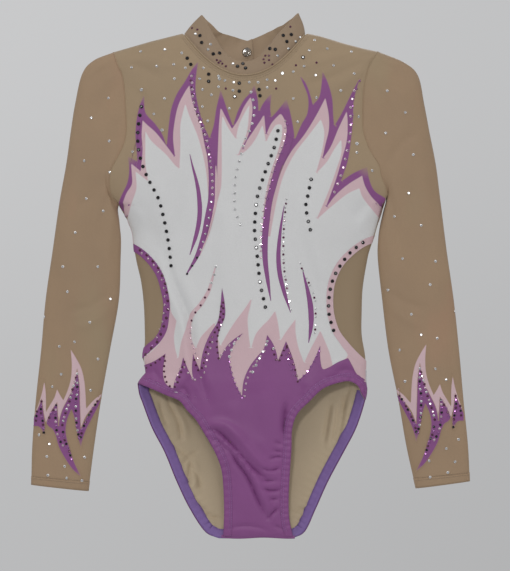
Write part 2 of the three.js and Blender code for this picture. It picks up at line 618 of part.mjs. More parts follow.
function addSleeve(side) {
  const right = side === 'right';
  const sign = right ? -1 : 1;
  const stations = right ? rightSleeve : leftSleeve;
  const armholeEdge = right ? rightArmhole : leftArmhole;
  const cuffFlames = right ? [rightCuffPink, rightCuffPurple] : [leftCuffPink, leftCuffPurple];
  const sleeve = new THREE.Group();
  leotard.add(sleeve);

  const outside = sign * far;
  const seam = armholeEdge.map(([x, z]) => [x + sign * 0.9, z]);
  const [innerX, innerZ] = shoulderCut.inner;
  const slope = (shoulderCut.outer[1] - innerZ) / (shoulderCut.outer[0] - innerX);
  const onCut = (x, drop) => [sign * x, innerZ + slope * (x - innerX) - drop];
  const tube = sleeveTube(stations, 0, fabric);

  const underarm = Math.abs(seam[seam.length - 1][0]);
  const capOutline = [[seam[0][0], 20], ...seam, onCut(underarm, -sleeveCut),
    onCut(far, -sleeveCut), [outside, 20]];
  add(`sleeve_cap_${side}`, tube.intersect(prism(capOutline)), 'nudeMesh', sleeve);
  const nearBody = sign * 100;
  const upperOutline = [onCut(100, sleeveCut), onCut(far, sleeveCut),
    [outside, elbowCut.outer + sleeveCut], [nearBody, elbowCut.inner + sleeveCut]];
  add(`sleeve_upper_${side}`, tube.intersect(prism(upperOutline)), 'nudeMesh', sleeve);
  const forearmOutline = [[outside, elbowCut.outer - sleeveCut], [outside, belowCuff],
    [nearBody, belowCuff], [nearBody, elbowCut.inner - sleeveCut]];
  add(`sleeve_forearm_${side}`, tube.intersect(prism(forearmOutline)), 'nudeMesh', sleeve);

  const [[outerX, outerZ], [innerEndX, innerEndZ]] = stations[stations.length - 1];
  const outerSide = outerX + sign * 10;
  const innerSide = innerEndX - sign * 10;
  const hemOutline = [[outerSide, outerZ + cuffHemHeight], [innerSide, innerEndZ + cuffHemHeight],
    [innerSide, belowCuff], [outerSide, belowCuff]];
  const hemTube = sleeveTube(stations, fabric + gap, 2 * fabric + gap);
  add(`cuff_hem_${side}`, hemTube.intersect(prism(hemOutline)), 'nudeMesh', sleeve);

  const [pink, purple] = cuffFlames;
  const pinkTube = sleeveTube(stations, 2 * pitch, 2 * pitch + fabric);
  add(`cuff_flame_pink_${side}`, pinkTube.intersect(prism(pink, -40, -2)), 'pink', sleeve);
  const purpleTube = sleeveTube(stations, 3 * pitch, 3 * pitch + fabric);
  add(`cuff_flame_purple_${side}`, purpleTube.intersect(prism(purple, -40, -2)), 'purple', sleeve);
}

addBody();
addFlames();
addBrief();
addLegFinish();
addCollar();
addPiping();
addSleeve('right');
addSleeve('left');

export default leotard;
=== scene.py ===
"""A child's gymnastics leotard, hanging: its looks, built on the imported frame.

Tables are in millimetres as (x, z) seen from the front; +X is the wearer's left.
Blender's own units are metres. The object's front faces -Y.
"""
import math
import random
import bpy
import numpy as np
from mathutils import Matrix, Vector
from mathutils.bvhtree import BVHTree
from mathutils.geometry import delaunay_2d_cdt


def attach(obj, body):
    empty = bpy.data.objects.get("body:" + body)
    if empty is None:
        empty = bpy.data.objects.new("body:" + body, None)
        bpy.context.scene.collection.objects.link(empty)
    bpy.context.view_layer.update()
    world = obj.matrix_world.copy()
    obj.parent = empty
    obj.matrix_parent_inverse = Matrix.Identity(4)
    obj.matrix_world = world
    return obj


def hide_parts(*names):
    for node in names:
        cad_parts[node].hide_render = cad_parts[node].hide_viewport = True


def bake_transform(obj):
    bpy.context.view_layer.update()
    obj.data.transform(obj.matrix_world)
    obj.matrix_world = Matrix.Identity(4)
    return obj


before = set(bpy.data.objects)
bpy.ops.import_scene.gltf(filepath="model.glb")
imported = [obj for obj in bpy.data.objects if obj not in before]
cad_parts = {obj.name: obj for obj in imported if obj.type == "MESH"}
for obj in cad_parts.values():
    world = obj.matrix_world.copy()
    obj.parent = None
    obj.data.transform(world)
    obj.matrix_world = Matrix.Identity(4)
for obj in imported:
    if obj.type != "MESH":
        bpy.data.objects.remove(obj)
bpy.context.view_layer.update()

MM = 0.001
FRONT, BACK = -1, 1
scene = bpy.context.scene

# ------------------------------------------------------------------ camera
VIEW_CENTRE = (4.5, -283.0)  # x and z in the middle of the view
VIEW_HEIGHT = 639.5
VIEW_DISTANCE = 3000.0
SENSOR = 36.0

camera_data = bpy.data.cameras.new("camera")
camera_data.sensor_fit = "VERTICAL"
camera_data.sensor_height = SENSOR
camera_data.lens = SENSOR * VIEW_DISTANCE / VIEW_HEIGHT
camera_data.clip_end = 20
camera = bpy.data.objects.new("camera", camera_data)
camera.location = (VIEW_CENTRE[0] * MM, -VIEW_DISTANCE * MM, VIEW_CENTRE[1] * MM)
camera.rotation_euler = (math.radians(90), 0, 0)
scene.collection.objects.link(camera)
scene.camera = camera

# ------------------------------------------------------------------ sizes
KNIT = 0.35  # thickness of a body layer
FILM = 0.1  # thickness of a flame
LAYER = {"base": 0.0, "purple": 0.2, "pink": 0.42, "white": 0.66, "accent": 0.84, "waist": 0.88,
         "side trim": 1.02, "brief": 1.2, "lining": -0.5, "liner": -1.6}
BINDING = 10.0
ARMHOLE_HALF_DEPTH, ARMHOLE_MIDDLE, ARMHOLE_HALF_HEIGHT = 16.0, -107.0, 86.0
YOKE_RISE = 70.0  # below the shoulder line the body reaches its full depth this far down
WAIST = -384.0
CROTCH = -564.0
NECK = {"x": -7.0, "half": 68.0, "z": -2.0, "front": 47.0, "back": 32.0, "depth": 20.0}
LINING_INSET = 3.5  # the back lining stops this far inside the leg edges
STONE = {"big": 2.15, "middle": 1.75, "small": 1.35}
CUFF_STONE_EXTRA = 0.2
STRIP_STEP = 2.0  # between the points of strips and stone rows
MESH = {"body": (2.2, 2.6), "back": (2.4, 3.0), "flame": (1.8, 2.2), "brief": (1.5, 1.9),
        "lining": (1.7, 2.1), "liner": (2.0, 2.4), "trim": (1.4, 1.8)}  # triangle spacing

# ------------------------------------------------------------------ outlines
# A third value of 1 marks a corner; the rest of a line is smooth.
RIGHT_ARMHOLE = [(-154, -22), (-149, -37), (-144, -48), (-141, -67), (-140, -86), (-139, -106),
                 (-141, -122), (-149, -140), (-157, -155), (-158, -170), (-156, -182), (-148, -193)]
LEFT_ARMHOLE = [(142, -21), (133, -35), (129, -47), (126, -62), (125, -76), (125, -106), (127, -117),
                (134, -134), (143, -148), (146, -162), (151, -175), (152, -182)]
RIGHT_SIDE = [(-148, -193, 1), (-139, -209), (-133, -223), (-131, -240), (-128, -257), (-123, -279),
              (-120, -305), (-119, -333), (-119, -349), (-121, -364), (-118, -374), (-117, -381, 1),
              (-121, -386), (-126, -393, 1), (-124, -405), (-121, -413), (-110, -442), (-96, -469),
              (-82, -503), (-68, -532), (-50, -559), (-40, -565)]
LEFT_SIDE = [(152, -182, 1), (146, -202), (139, -223), (133, -242), (129, -261), (125, -287),
             (124, -312), (124, -338), (128, -364), (128, -390), (129, -400), (127, -411),
             (117, -442), (103, -469), (85, -503), (72, -532), (59, -559), (50, -565)]
SHOULDER = [(-158, -23), (-113, -10), (-77, -1), (64, -1), (78, -4), (104, -12), (127, -18),
            (146, -22)]
DEPTHS = [(20, 22), (-60, 22), (-260, 21), (-390, 20), (-470, 15), (-530, 8), (-556, 5), (-562, 3),
          (-565, 0.8)]
RIGHT_LEG = [(-126, -392.5), (-115, -396.5), (-95, -405), (-79, -412), (-72, -421), (-61, -433),
             (-53, -446), (-39, -471), (-33, -488), (-31, -505), (-30, -536), (-31, -563)]
LEFT_LEG = [(128, -411), (124, -405), (119, -395), (110, -390), (99, -391), (80, -398), (66, -411),
            (51, -427), (46, -442), (45, -466), (43, -497), (42, -521), (43, -545), (47, -563)]
COLLAR_TOP = [(-90, -55, 20), (-60, -46, 6), (-45, -41, -4), (-30, -29, -24), (-18, -20, -31),
              (0, -5, -34), (12, 9, -29), (22, 18, -17), (40, 33, 1), (65, 46, 14), (90, 53, 22)]
BACK_COLLAR_TOP = [(90, 53, 22), (120, 36, 9.5), (150, 16, 1.5), (180, -4, -7.5),
                   (210, -21, -2.5), (238, -36, 1.5), (270, -55, 20)]

PURPLE_TOP = [
    (-148, -190, 1), (-144, -181), (-138, -168), (-136, -153), (-138, -138, 1), (-127, -144, 1),
    (-128, -130), (-129, -114), (-127, -94), (-123, -79), (-118, -68, 1), (-117, -90), (-106, -103),
    (-98, -115), (-94, -126, 1), (-92, -105), (-89, -86), (-83, -70), (-74, -56), (-67, -44),
    (-57, -30, 1), (-60, -46), (-61, -66), (-58, -84), (-52, -105), (-46, -118, 1), (-42, -105),
    (-39, -86), (-36, -73), (-34, -62, 1), (-29, -78), (-25, -90), (-20, -104, 1), (-15, -89),
    (-8, -76), (-1, -68), (4, -57, 1), (8, -76), (9, -88, 1), (14, -79), (24, -67, 1), (22, -85),
    (23, -95, 1), (31, -86), (40, -74, 1), (45, -94), (48, -110), (49, -119, 1), (56, -103),
    (62, -92), (63, -74), (58, -60), (51, -44, 1), (62, -59), (67, -73), (69, -81, 1), (75, -74),
    (78, -59), (79, -41, 1), (87, -60), (91, -76), (92, -94), (93, -104, 1), (100, -92), (107, -78),
    (115, -62), (125, -45, 1), (119, -61), (115, -78), (114, -99), (112, -119), (108, -145),
    (101, -166, 1), (113, -158), (130, -150, 1), (132, -164), (138, -177), (152, -186, 1)]
PURPLE_BOTTOM = [(150, -200, 1), (84, -216, 1), (60, -165, 1), (20, -140, 1), (-40, -165, 1),
                 (-85, -165, 1), (-110, -180, 1), (-147, -203, 1)]
PURPLE_TIPS = [(-138, -138), (-118, -68), (-57, -30), (-34, -62), (4, -57), (24, -67), (40, -74),
               (51, -44), (79, -41), (125, -45), (130, -150)]
PINK_TOP = [
    (-143, -190, 1), (-139, -180), (-133, -170), (-133, -159), (-134, -146, 1), (-123, -155, 1),
    (-121, -132), (-122, -116), (-121, -98, 1), (-115, -104), (-106, -112), (-94, -127),
    (-85, -139, 1), (-87, -118), (-85, -99), (-81, -82), (-74, -68), (-68, -59, 1), (-66, -73),
    (-62, -87), (-55, -107), (-51, -127), (-47, -146), (-46, -170), (-46, -190, 1), (-39, -190, 1),
    (-38, -159), (-37, -127), (-36, -105), (-34, -83, 1), (-27, -97), (-21, -108, 1), (-15, -99),
    (-8, -84), (0, -72, 1), (2, -84), (1, -99), (-2, -114), (-9, -131, 1), (-8, -127), (3, -110),
    (11, -98), (15, -91, 1), (16, -103), (17, -114, 1), (22, -103), (29, -95), (33, -92), (37, -97),
    (40, -108), (38, -124), (32, -139), (25, -159), (20, -182), (16, -210, 1), (20, -210, 1),
    (23, -190), (30, -165), (37, -147), (45, -133), (59, -115), (72, -94), (83, -73, 1), (87, -94),
    (87, -110), (83, -127), (80, -141, 1), (88, -129), (97, -108), (107, -87, 1), (108, -103),
    (107, -122), (102, -141), (95, -165), (84, -195, 1), (94, -182), (108, -170), (124, -160, 1),
    (127, -171), (134, -183), (147, -196, 1)]
PINK_BOTTOM = [(145, -212, 1), (84, -217, 1), (40, -216, 1), (26, -235, 1), (-20, -235, 1),
               (-70, -200, 1), (-110, -190, 1), (-141, -207, 1)]
WHITE_TOP = [
    (-138, -208, 1), (-133, -190), (-128, -175), (-129, -155, 1), (-120, -162), (-115, -166, 1),
    (-118, -145), (-118, -127), (-118, -109, 1), (-111, -121), (-94, -137), (-83, -150),
    (-80, -152, 1), (-79, -127), (-79, -105), (-76, -90), (-73, -79, 1), (-68, -94), (-59, -116),
    (-53, -137), (-49, -159), (-47, -183, 1), (-44, -200, 1), (-38, -190, 1), (-34, -175),
    (-33, -159), (-33, -127), (-33, -105), (-32, -92, 1), (-25, -107), (-17, -119, 1), (-14, -105),
    (-8, -92), (-1, -80, 1), (-2, -95), (-4, -112), (-14, -138, 1), (-5, -132), (4, -121),
    (13, -103, 1), (15, -112), (17, -122, 1), (22, -112), (28, -104), (34, -104), (35, -115),
    (31, -132), (24, -152), (18, -175), (14, -205), (14, -228, 1), (21, -228, 1),
    (24, -210), (29, -185), (36, -160), (49, -135), (62, -118), (78, -97, 1),
    (82, -112), (79, -135), (73, -157, 1), (84, -145), (93, -130), (101, -119, 1), (101, -135),
    (95, -155), (86, -180), (74, -208, 1), (90, -194), (108, -180), (121, -174, 1), (124, -183),
    (132, -194), (143, -207, 1)]
WHITE_BOTTOM = [(137, -231, 1), (115, -241), (101.5, -256), (93, -270), (88, -290), (87, -305),
                (89.5, -324), (95, -338), (105, -353), (115, -363, 1), (91, -378, 1),
                (58, -374, 1), (31, -350, 1), (-1, -356, 1), (-20, -350, 1), (-82, -370, 1),
                (-113, -357, 1), (-104, -348.5), (-96.5, -335), (-93.5, -318.5), (-92.5, -304),
                (-95.5, -287), (-101.5, -270), (-111, -256), (-121, -246), (-132, -239, 1)]
BRIEF_TOP = [
    (-119, -372, 1), (-107, -367), (-95, -359, 1), (-97, -370), (-98, -380), (-95, -392),
    (-87, -399, 1), (-84, -388), (-78, -374), (-75, -363, 1), (-70, -376), (-64, -389, 1),
    (-66, -375), (-65, -359, 1), (-60, -369), (-56, -378, 1), (-55, -366), (-52, -352), (-46, -338),
    (-37, -323), (-34, -306), (-32, -286, 1), (-29, -304), (-29, -318), (-34, -330), (-37, -343),
    (-35, -366, 1), (-28, -352), (-19, -343), (-9, -336, 1), (-19, -349), (-24, -364), (-22, -377),
    (-18, -391), (-10, -406, 1), (-8, -389), (-1, -373), (8, -361), (14, -354), (18, -338, 1),
    (24, -347), (28, -357), (30, -367, 1), (34, -357), (39, -345, 1), (45, -360), (49, -373),
    (52, -389, 1), (60, -382), (66, -374), (72, -362), (77, -350, 1), (77, -364), (80, -376),
    (87, -374), (96, -369), (103, -366), (108, -364, 1), (113, -373), (121, -386), (128, -392, 1)]
PINK_WAIST_TOP = [
    (-119, -362, 1), (-112, -357), (-104, -349), (-97, -338), (-94, -320), (-92.5, -300),
    (-94, -284, 1), (-90, -297), (-88, -312), (-82, -322, 1),
    (-85, -340), (-84, -352), (-81, -363, 1), (-78, -347), (-74, -333), (-71, -322), (-60, -306),
    (-50, -292), (-43, -280), (-38, -262, 1), (-44, -285), (-53, -303), (-63, -318), (-66, -334),
    (-65, -344), (-61, -352, 1), (-56, -340), (-49, -332), (-40, -323, 1), (-38, -335),
    (-34, -349, 1), (-24, -332), (-16, -320), (-7, -308), (2, -294, 1), (0, -305), (-3, -319),
    (-2, -337), (0, -352, 1), (5, -337), (12, -328), (19, -321), (27, -310, 1), (30, -322),
    (33, -343, 1), (38, -335), (44, -327), (50, -319, 1), (50, -334), (53, -351), (59, -368, 1),
    (64, -357), (71, -344), (77, -332, 1), (82, -343), (88, -358), (92, -374, 1), (101, -367),
    (107, -361), (100, -350), (93, -336), (98, -338), (107, -353), (117, -365), (128, -374, 1)]
PINK_WAIST_BOTTOM = [(128, -395, 1), (100, -386, 1), (60, -398, 1), (-10, -418, 1), (-88, -401, 1),
                     (-119, -383, 1)]
BACK_BRIEF_TOP = [(-119, -378, 1), (-104, -362), (-92, -350, 1), (-82, -366), (-70, -376, 1),
                  (-56, -352), (-40, -334, 1), (-30, -356), (-16, -370, 1), (-6, -342), (8, -320, 1),
                  (16, -346), (30, -368, 1), (42, -354), (58, -338, 1), (70, -362), (84, -376, 1),
                  (98, -366), (110, -350, 1), (118, -366), (128, -378, 1)]
KEYHOLE = [(-5, -42, 1), (-9, -50), (-14, -60), (-18, -76), (-15, -90), (-4, -97), (7, -90),
           (10, -76), (6, -60), (1, -50), (-3, -42, 1)]

# Blades and ribbons on the white: centre line and width along it.
BLADES = {
    "accent_blade_right": ([(-68, -137), (-65, -150), (-61, -165), (-58, -181), (-57, -203),
                            (-60, -223), (-68, -249)], [0.6, 2.5, 4, 5, 5, 4, 0.6]),
    "accent_ribbon_long": ([(43, -118), (38, -134), (30, -152), (25, -171), (20.5, -188),
                            (17.5, -209), (15.5, -232), (16, -256), (18.5, -276), (22, -300)],
                           [8, 8, 7, 7, 7, 7, 6.5, 5.5, 4, 0.6]),
    "accent_blade_centre": ([(37, -194), (34.5, -209), (32, -228), (30.5, -251), (32, -270),
                             (36, -287), (44, -313)], [0.6, 2.4, 4, 5, 5, 4, 0.6]),
    "accent_blade_left": ([(57, -264), (59.5, -275), (63, -289), (66, -305), (67, -323), (66, -335),
                           (64, -347)], [0.6, 2.5, 4.5, 6, 6, 4, 0.6]),
    "accent_ribbon_chest": ([(-45, -140), (-43.5, -155), (-43, -171), (-44, -190), (-48, -209),
                             (-52, -227), (-60, -250), (-72, -271)],
                            [7, 7.5, 8, 8, 7, 6, 4, 1]),
}
PINK_RIBBONS = {
    "chest_ribbon_pink": ([(-39, -150), (-38.5, -171), (-39, -190), (-43, -209), (-48, -227),
                           (-57, -250)], [1, 3, 3, 2.6, 2, 0.6]),
    "waist_ribbon_pink": ([(-39, -261), (-43, -276), (-47, -289), (-56, -304), (-65, -315),
                           (-69, -328)], [1, 2.6, 4, 4.6, 4.6, 2.6]),
}
RIGHT_CUTOUT = [(-131, -236), (-120, -243), (-109, -253.5), (-99, -268), (-93, -286), (-90, -304),
                (-91, -318), (-94, -334), (-102, -347), (-111, -355), (-121, -365)]
LEFT_CUTOUT = [(139, -226), (124.5, -232), (111.5, -241), (98.5, -254), (91, -266), (85.5, -282),
               (84, -300), (85.5, -317), (92, -337), (103, -352), (114, -364), (128, -377)]
CUTOUT_TRIM = 7.5

# Sleeves: outer edge, inner edge and half depth at stations down the arm. The first
# station, at the armhole, takes its inner curve and depth from the body.
RIGHT_SLEEVE = [
    ((-154, -22), (-148, -193), 16), ((-176, -31), (-148.5, -195), 15.5),
    ((-189, -46), (-149, -198), 15), ((-197, -80), (-148.5, -203), 14.5),
    ((-202, -112), (-147.5, -210), 14), ((-207, -148), (-146.5, -220), 13),
    ((-214.5, -190), (-145.5, -232), 12), ((-222, -243), (-146, -254), 11),
    ((-230, -299), (-148, -300), 10), ((-235, -355), (-158, -356), 9),
    ((-241, -411), (-168, -412), 8.5), ((-245, -464), (-176, -466), 8),
    ((-246, -506), (-182, -513), 8)]
LEFT_SLEEVE = [
    ((142, -21), (152, -182), 16), ((171, -33), (151.5, -188), 15.5),
    ((187, -48), (151, -192), 15), ((194, -80), (149, -197), 14.5),
    ((200, -112), (147, -205), 14), ((207, -148), (144.5, -216), 13),
    ((212, -187), (142.5, -230), 12), ((219, -243), (142, -253), 11),
    ((227, -299), (147, -300), 10), ((233, -355), (154, -356), 9),
    ((238, -411), (165, -411), 8.5), ((243, -462), (174, -463), 8),
    ((245, -502), (184.5, -510), 8)]
SLEEVE_ROUND = 120  # points round a sleeve
CUFF_PINK = [
    (-241.6, -425.5, 1), (-237, -413.5), (-233, -399.2), (-230.9, -387.2, 1), (-229.2, -400.9),
    (-228.6, -412.4), (-228.8, -423.2, 1), (-224.4, -415.8), (-219.8, -407.8), (-216.6, -398, 1),
    (-213, -405), (-209.6, -410.6, 1), (-205, -399.8), (-201.5, -387.2), (-200.4, -372.4),
    (-201.8, -352.9, 1), (-194.7, -364.4), (-189, -375.8), (-185.8, -389.5), (-184.4, -405.5),
    (-183.8, -419.5, 1), (-176.4, -411.2), (-165.5, -402.3, 1), (-169, -409), (-176.4, -418.7),
    (-184.4, -429.5), (-190.1, -443.5, 1), (-191.8, -426.1), (-193, -412.4, 1), (-201.5, -417, 1),
    (-209.6, -430.7), (-214.9, -440.7, 1), (-216.2, -428.4), (-221, -430.7, 1), (-226.1, -431.8),
    (-229.2, -437.8, 1), (-231.3, -428.4), (-233.8, -421.5, 1), (-238.1, -427.2),
    (-241.6, -430.7, 1)]
CUFF_PURPLE_OUTER = [
    (-243.4, -431.8, 1), (-238.1, -420.4), (-233.8, -409.2, 1), (-232, -421.5), (-230.4, -435.2),
    (-230.1, -443.2), (-231.5, -451.8, 1), (-234.1, -444.4), (-237, -441), (-243.4, -440.4, 1)]
CUFF_PURPLE_INNER = [
    (-228.8, -437.3, 1), (-226.7, -430.7), (-222.1, -421.5), (-216.4, -413, 1), (-215.7, -423.8),
    (-215, -439.6, 1), (-213.6, -430.7), (-210.7, -421.5), (-205, -410.1), (-198.1, -395.2),
    (-194.1, -375.2, 1), (-191.3, -395.2), (-190.8, -412.4), (-190.1, -442.7, 1), (-185.5, -433),
    (-178.7, -421.5), (-167, -407.2, 1), (-170.7, -417.5), (-178.7, -433.5), (-184.4, -445),
    (-187.8, -454.7), (-189.9, -465.5, 1), (-193.3, -453.5), (-195.6, -441), (-197.5, -430.7),
    (-200.4, -421.5, 1), (-205, -433), (-206.6, -444.4), (-205, -455.8), (-201.5, -467.2),
    (-197.5, -479.8), (-188.4, -498.7, 1), (-199.3, -488.4), (-208.4, -475.2), (-214.7, -463.2),
    (-218.5, -450.1), (-222.1, -443.2), (-225.6, -441)]
CUFF_MIRROR = (-5.5, 6.0)  # the left cuff is the right one mirrored and moved by this much


def for_side(side, points):
    """Points of the right side, mirrored to the left when asked."""
    if side == "right":
        return points
    return [(-q[0] + CUFF_MIRROR[0], q[1] + CUFF_MIRROR[1], *q[2:]) for q in points]


# ------------------------------------------------------------------ folds
# (line, half width, height) in mm on the front; a negative height is a groove.
FOLDS_FRONT = [
    ([(-50, -443), (-39, -444), (-29, -452), (-9, -474), (4, -489), (19, -500)], 1.9, -4.6),
    ([(-46, -437), (-28, -439), (-5, -462), (11, -481), (24, -495)], 3.6, 4.0),
    ([(-34, -463), (-24, -467), (-15, -481), (-4, -496), (9, -525), (17, -542)], 1.9, -4.2),
    ([(-32, -456), (-12, -472), (4, -496), (16, -521), (25, -545)], 3.2, 3.2),
    ([(-46, -454), (-38, -455), (-28, -464)], 1.5, -2.0),
    ([(-77, -396), (-71, -401), (-69, -412)], 1.7, -1.8),
    ([(-110, -376), (-104, -383), (-98, -391)], 1.8, -1.9),
    ([(39, -412), (36, -434), (36, -450)], 1.9, -2.6),
    ([(-93, -252), (-89, -270), (-80, -293), (-71, -315), (-66, -342), (-63, -366), (-54, -392),
      (-47, -414)], 2.8, -3.2),
    ([(-99, -256), (-96, -275), (-88, -298), (-79, -320), (-74, -342), (-70, -368), (-62, -394)],
     4.2, 2.6),
    ([(-78, -270), (-68, -292), (-60, -315), (-56, -342), (-53, -366), (-45, -390), (-38, -414)],
     5.0, 1.8),
    ([(-107, -380), (-102, -396)], 2.0, -1.4),
    ([(-98, -398), (-84, -395), (-74, -380)], 2.4, 1.3),
    ([(-88, -404), (-74, -396), (-68, -384)], 1.8, -1.4),
    ([(-122, -205), (-110, -225), (-97, -245), (-89, -262)], 7.0, -1.2),
    ([(39, -420), (38, -440), (37, -462)], 1.8, -1.2),
    ([(60, -393), (60, -410)], 2.0, -0.9),
    ([(-20, -410), (-16, -440), (-6, -458)], 7.0, 1.2),
    ([(16, -400), (17, -430), (19, -462)], 6.0, 1.0),
    ([(-76, -396), (-70, -404)], 2.0, -0.7),
    ([(-62, -399), (-61, -413)], 2.0, -0.7),
    ([(94, -380), (108, -377), (124, -386)], 1.8, -2.0),
    ([(90, -373), (106, -369), (120, -378)], 2.4, 0.9),
    ([(84, -386), (100, -384), (117, -391)], 1.6, -1.5),
    ([(-29, -556), (-10, -552), (5, -553), (25, -560)], 1.8, -2.0),
    ([(10, -486), (22, -489), (34, -486)], 1.3, -2.8),
    ([(6, -497), (16, -501), (30, -500)], 1.2, -2.0),
    ([(12, -510), (24, -512), (34, -510)], 1.3, -3.0),
    ([(20, -522), (31, -521)], 1.2, -2.2),
    ([(18, -545), (24, -537), (31, -531)], 1.5, -3.2),
    ([(26, -551), (38, -557)], 1.3, -2.4),
    ([(26, -457), (35, -460)], 1.2, -1.7),
    ([(24, -467), (36, -468)], 1.2, -2.0),
    ([(20, -477), (28, -474), (36, -475)], 1.2, -2.2),
    ([(40, -415), (37, -436), (36, -456)], 2.4, -1.6),
    ([(-20, -440), (4, -456), (26, -466)], 5.0, 1.0),
    ([(140, -30), (118, -38), (92, -50), (60, -60)], 3.2, -1.3),
    ([(140, -36), (115, -50), (88, -68)], 4.0, 1.2),
    ([(136, -26), (104, -26), (74, -34), (50, -44)], 3.0, 1.1),
    ([(122, -22), (96, -20), (70, -22)], 2.6, -0.9),
    ([(-152, -33), (-126, -40), (-98, -52)], 3.2, -1.2),
    ([(-150, -28), (-120, -30), (-90, -38), (-64, -40)], 3.5, 1.0),
    ([(-144, -60), (-124, -72), (-104, -96)], 5.0, -0.9),
    ([(132, -60), (116, -70), (100, -90)], 5.0, -0.9),
    ([(148, -178), (130, -190), (112, -212)], 5.0, -1.3),
    ([(150, -186), (134, -200), (120, -222)], 4.0, 1.0),
    ([(-148, -186), (-132, -197), (-118, -214)], 4.0, 1.0),
    ([(-20, -190), (-24, -250), (-20, -310)], 10.0, 1.8),
    ([(-40, -200), (-46, -250), (-42, -300)], 8.0, -1.5),
    ([(46, -190), (56, -240), (72, -290), (84, -330)], 6.0, -1.8),
    ([(58, -185), (70, -235), (88, -275), (96, -300)], 6.5, 1.5),
    ([(20, -320), (8, -370), (4, -404)], 8.0, 1.6),
    ([(62, -330), (66, -360), (60, -392)], 5.0, -1.4),
    ([(-106, -160), (-100, -200), (-104, -240)], 7.0, 1.4),
    ([(-66, -130), (-70, -190), (-84, -236)], 6.0, -1.3),
    ([(96, -140), (100, -180), (116, -212)], 6.0, -1.3),
    ([(-112, -262), (-110, -300), (-112, -345)], 4.0, -0.9),
    ([(-116, -300), (-117, -340)], 2.5, 0.8),
    ([(108, -262), (104, -300), (112, -345)], 5.0, -0.8),
    ([(118, -290), (117, -330), (122, -360)], 3.0, 0.8),
]
FOLDS_BACK = [
    ([(-103, -412), (-99, -430), (-94, -442)], 1.8, 2.6),
    ([(-96, -404), (-90, -419), (-82, -435), (-79, -447), (-79, -458)], 1.9, 3.2),
    ([(-93, -408), (-84, -426), (-75, -444), (-73, -456)], 3.0, -2.2),
    ([(-93, -457), (-79, -469), (-68, -476)], 1.6, 2.4),
    ([(-79, -486), (-68, -474), (-60, -470)], 1.7, 2.2),
    ([(-71, -512), (-70, -497), (-67, -478)], 1.7, 2.8),
    ([(-66, -514), (-62, -498), (-64, -480)], 2.4, -2.2),
    ([(-56, -512), (-60, -498), (-67, -484)], 1.8, 3.0),
    ([(-70, -514), (-58, -529), (-45, -541), (-30, -546)], 1.7, 2.4),
    ([(82, -460), (86, -438), (89, -416)], 2.0, 2.8),
    ([(87, -466), (91, -442), (96, -414)], 2.6, -2.0),
    ([(92, -462), (95, -440), (99, -414)], 1.8, 2.2),
    ([(97, -466), (103, -431), (105, -402)], 1.9, 3.0),
    ([(100, -460), (107, -430), (112, -402)], 2.0, -1.8),
    ([(104, -424), (108, -408), (112, -392)], 1.7, 2.2),
    ([(44, -540), (70, -526), (81, -510)], 1.7, 2.4),
    ([(48, -548), (70, -533), (84, -516)], 1.7, 1.8),
    ([(-120, -60), (-80, -90), (-50, -150)], 9.0, 1.2),
    ([(115, -60), (80, -95), (45, -150)], 9.0, 1.2),
    ([(0, -130), (4, -220), (0, -320)], 14.0, -1.4),
    ([(-60, -200), (-70, -280), (-60, -340)], 9.0, 1.2),
    ([(66, -200), (74, -280), (64, -340)], 9.0, 1.2),
    ([(-130, -215), (-110, -235), (-92, -262)], 5.0, -1.1),
    ([(132, -215), (112, -235), (96, -262)], 5.0, -1.1),
    ([(-20, -50), (-36, -80), (-30, -120)], 5.0, 0.8),
    ([(14, -50), (30, -82), (24, -122)], 5.0, 0.8),
    ([(-30, -420), (-4, -440), (30, -425)], 6.0, -1.0),
]
FOLDS_SLEEVE_RIGHT = [
    ([(-153, -36), (-168, -44), (-184, -58)], 2.2, -1.3),
    ([(-150, -46), (-166, -58), (-182, -78)], 2.6, 1.1),
    ([(-147, -58), (-162, -74), (-176, -100)], 2.4, -1.0),
    ([(-144, -80), (-158, -100), (-170, -130)], 4.0, 0.9),
    ([(-158, -175), (-165, -200), (-172, -240)], 3.0, -1.2),
    ([(-151, -195), (-156, -225), (-160, -260)], 3.0, 1.1),
    ([(-162, -160), (-178, -182), (-196, -200)], 5.0, -0.9),
    ([(-196, -120), (-200, -180), (-208, -240), (-214, -290)], 5.0, 1.0),
    ([(-180, -150), (-184, -220), (-192, -300), (-200, -360)], 6.0, -0.9),
    ([(-158, -290), (-178, -306), (-204, -312)], 3.4, -0.8),
    ([(-156, -306), (-174, -322), (-196, -332)], 3.4, 0.8),
    ([(-176, -340), (-186, -400), (-196, -470)], 5.0, 0.8),
    ([(-222, -330), (-226, -390), (-232, -470)], 3.5, -0.7),
]
FOLDS_SLEEVE_LEFT = [
    ([(143, -34), (160, -42), (180, -60)], 2.2, -1.3),
    ([(137, -44), (156, -56), (176, -80)], 2.6, 1.1),
    ([(132, -58), (150, -76), (166, -104)], 2.4, -1.0),
    ([(129, -84), (146, -104), (160, -134)], 4.0, 0.9),
    ([(150, -150), (166, -128), (184, -112)], 4.0, -0.9),
    ([(152, -172), (160, -205), (166, -245)], 3.0, -1.2),
    ([(150, -192), (152, -225), (156, -262)], 3.0, 1.1),
    ([(192, -120), (196, -180), (204, -240), (210, -290)], 5.0, 1.0),
    ([(176, -150), (180, -220), (188, -300), (196, -360)], 6.0, -0.9),
    ([(152, -288), (172, -302), (198, -310)], 3.4, -0.8),
    ([(154, -306), (172, -320), (192, -330)], 3.4, 0.8),
    ([(172, -340), (184, -400), (196, -470)], 5.0, 0.8),
    ([(220, -330), (226, -390), (232, -470)], 3.5, -0.7),
]


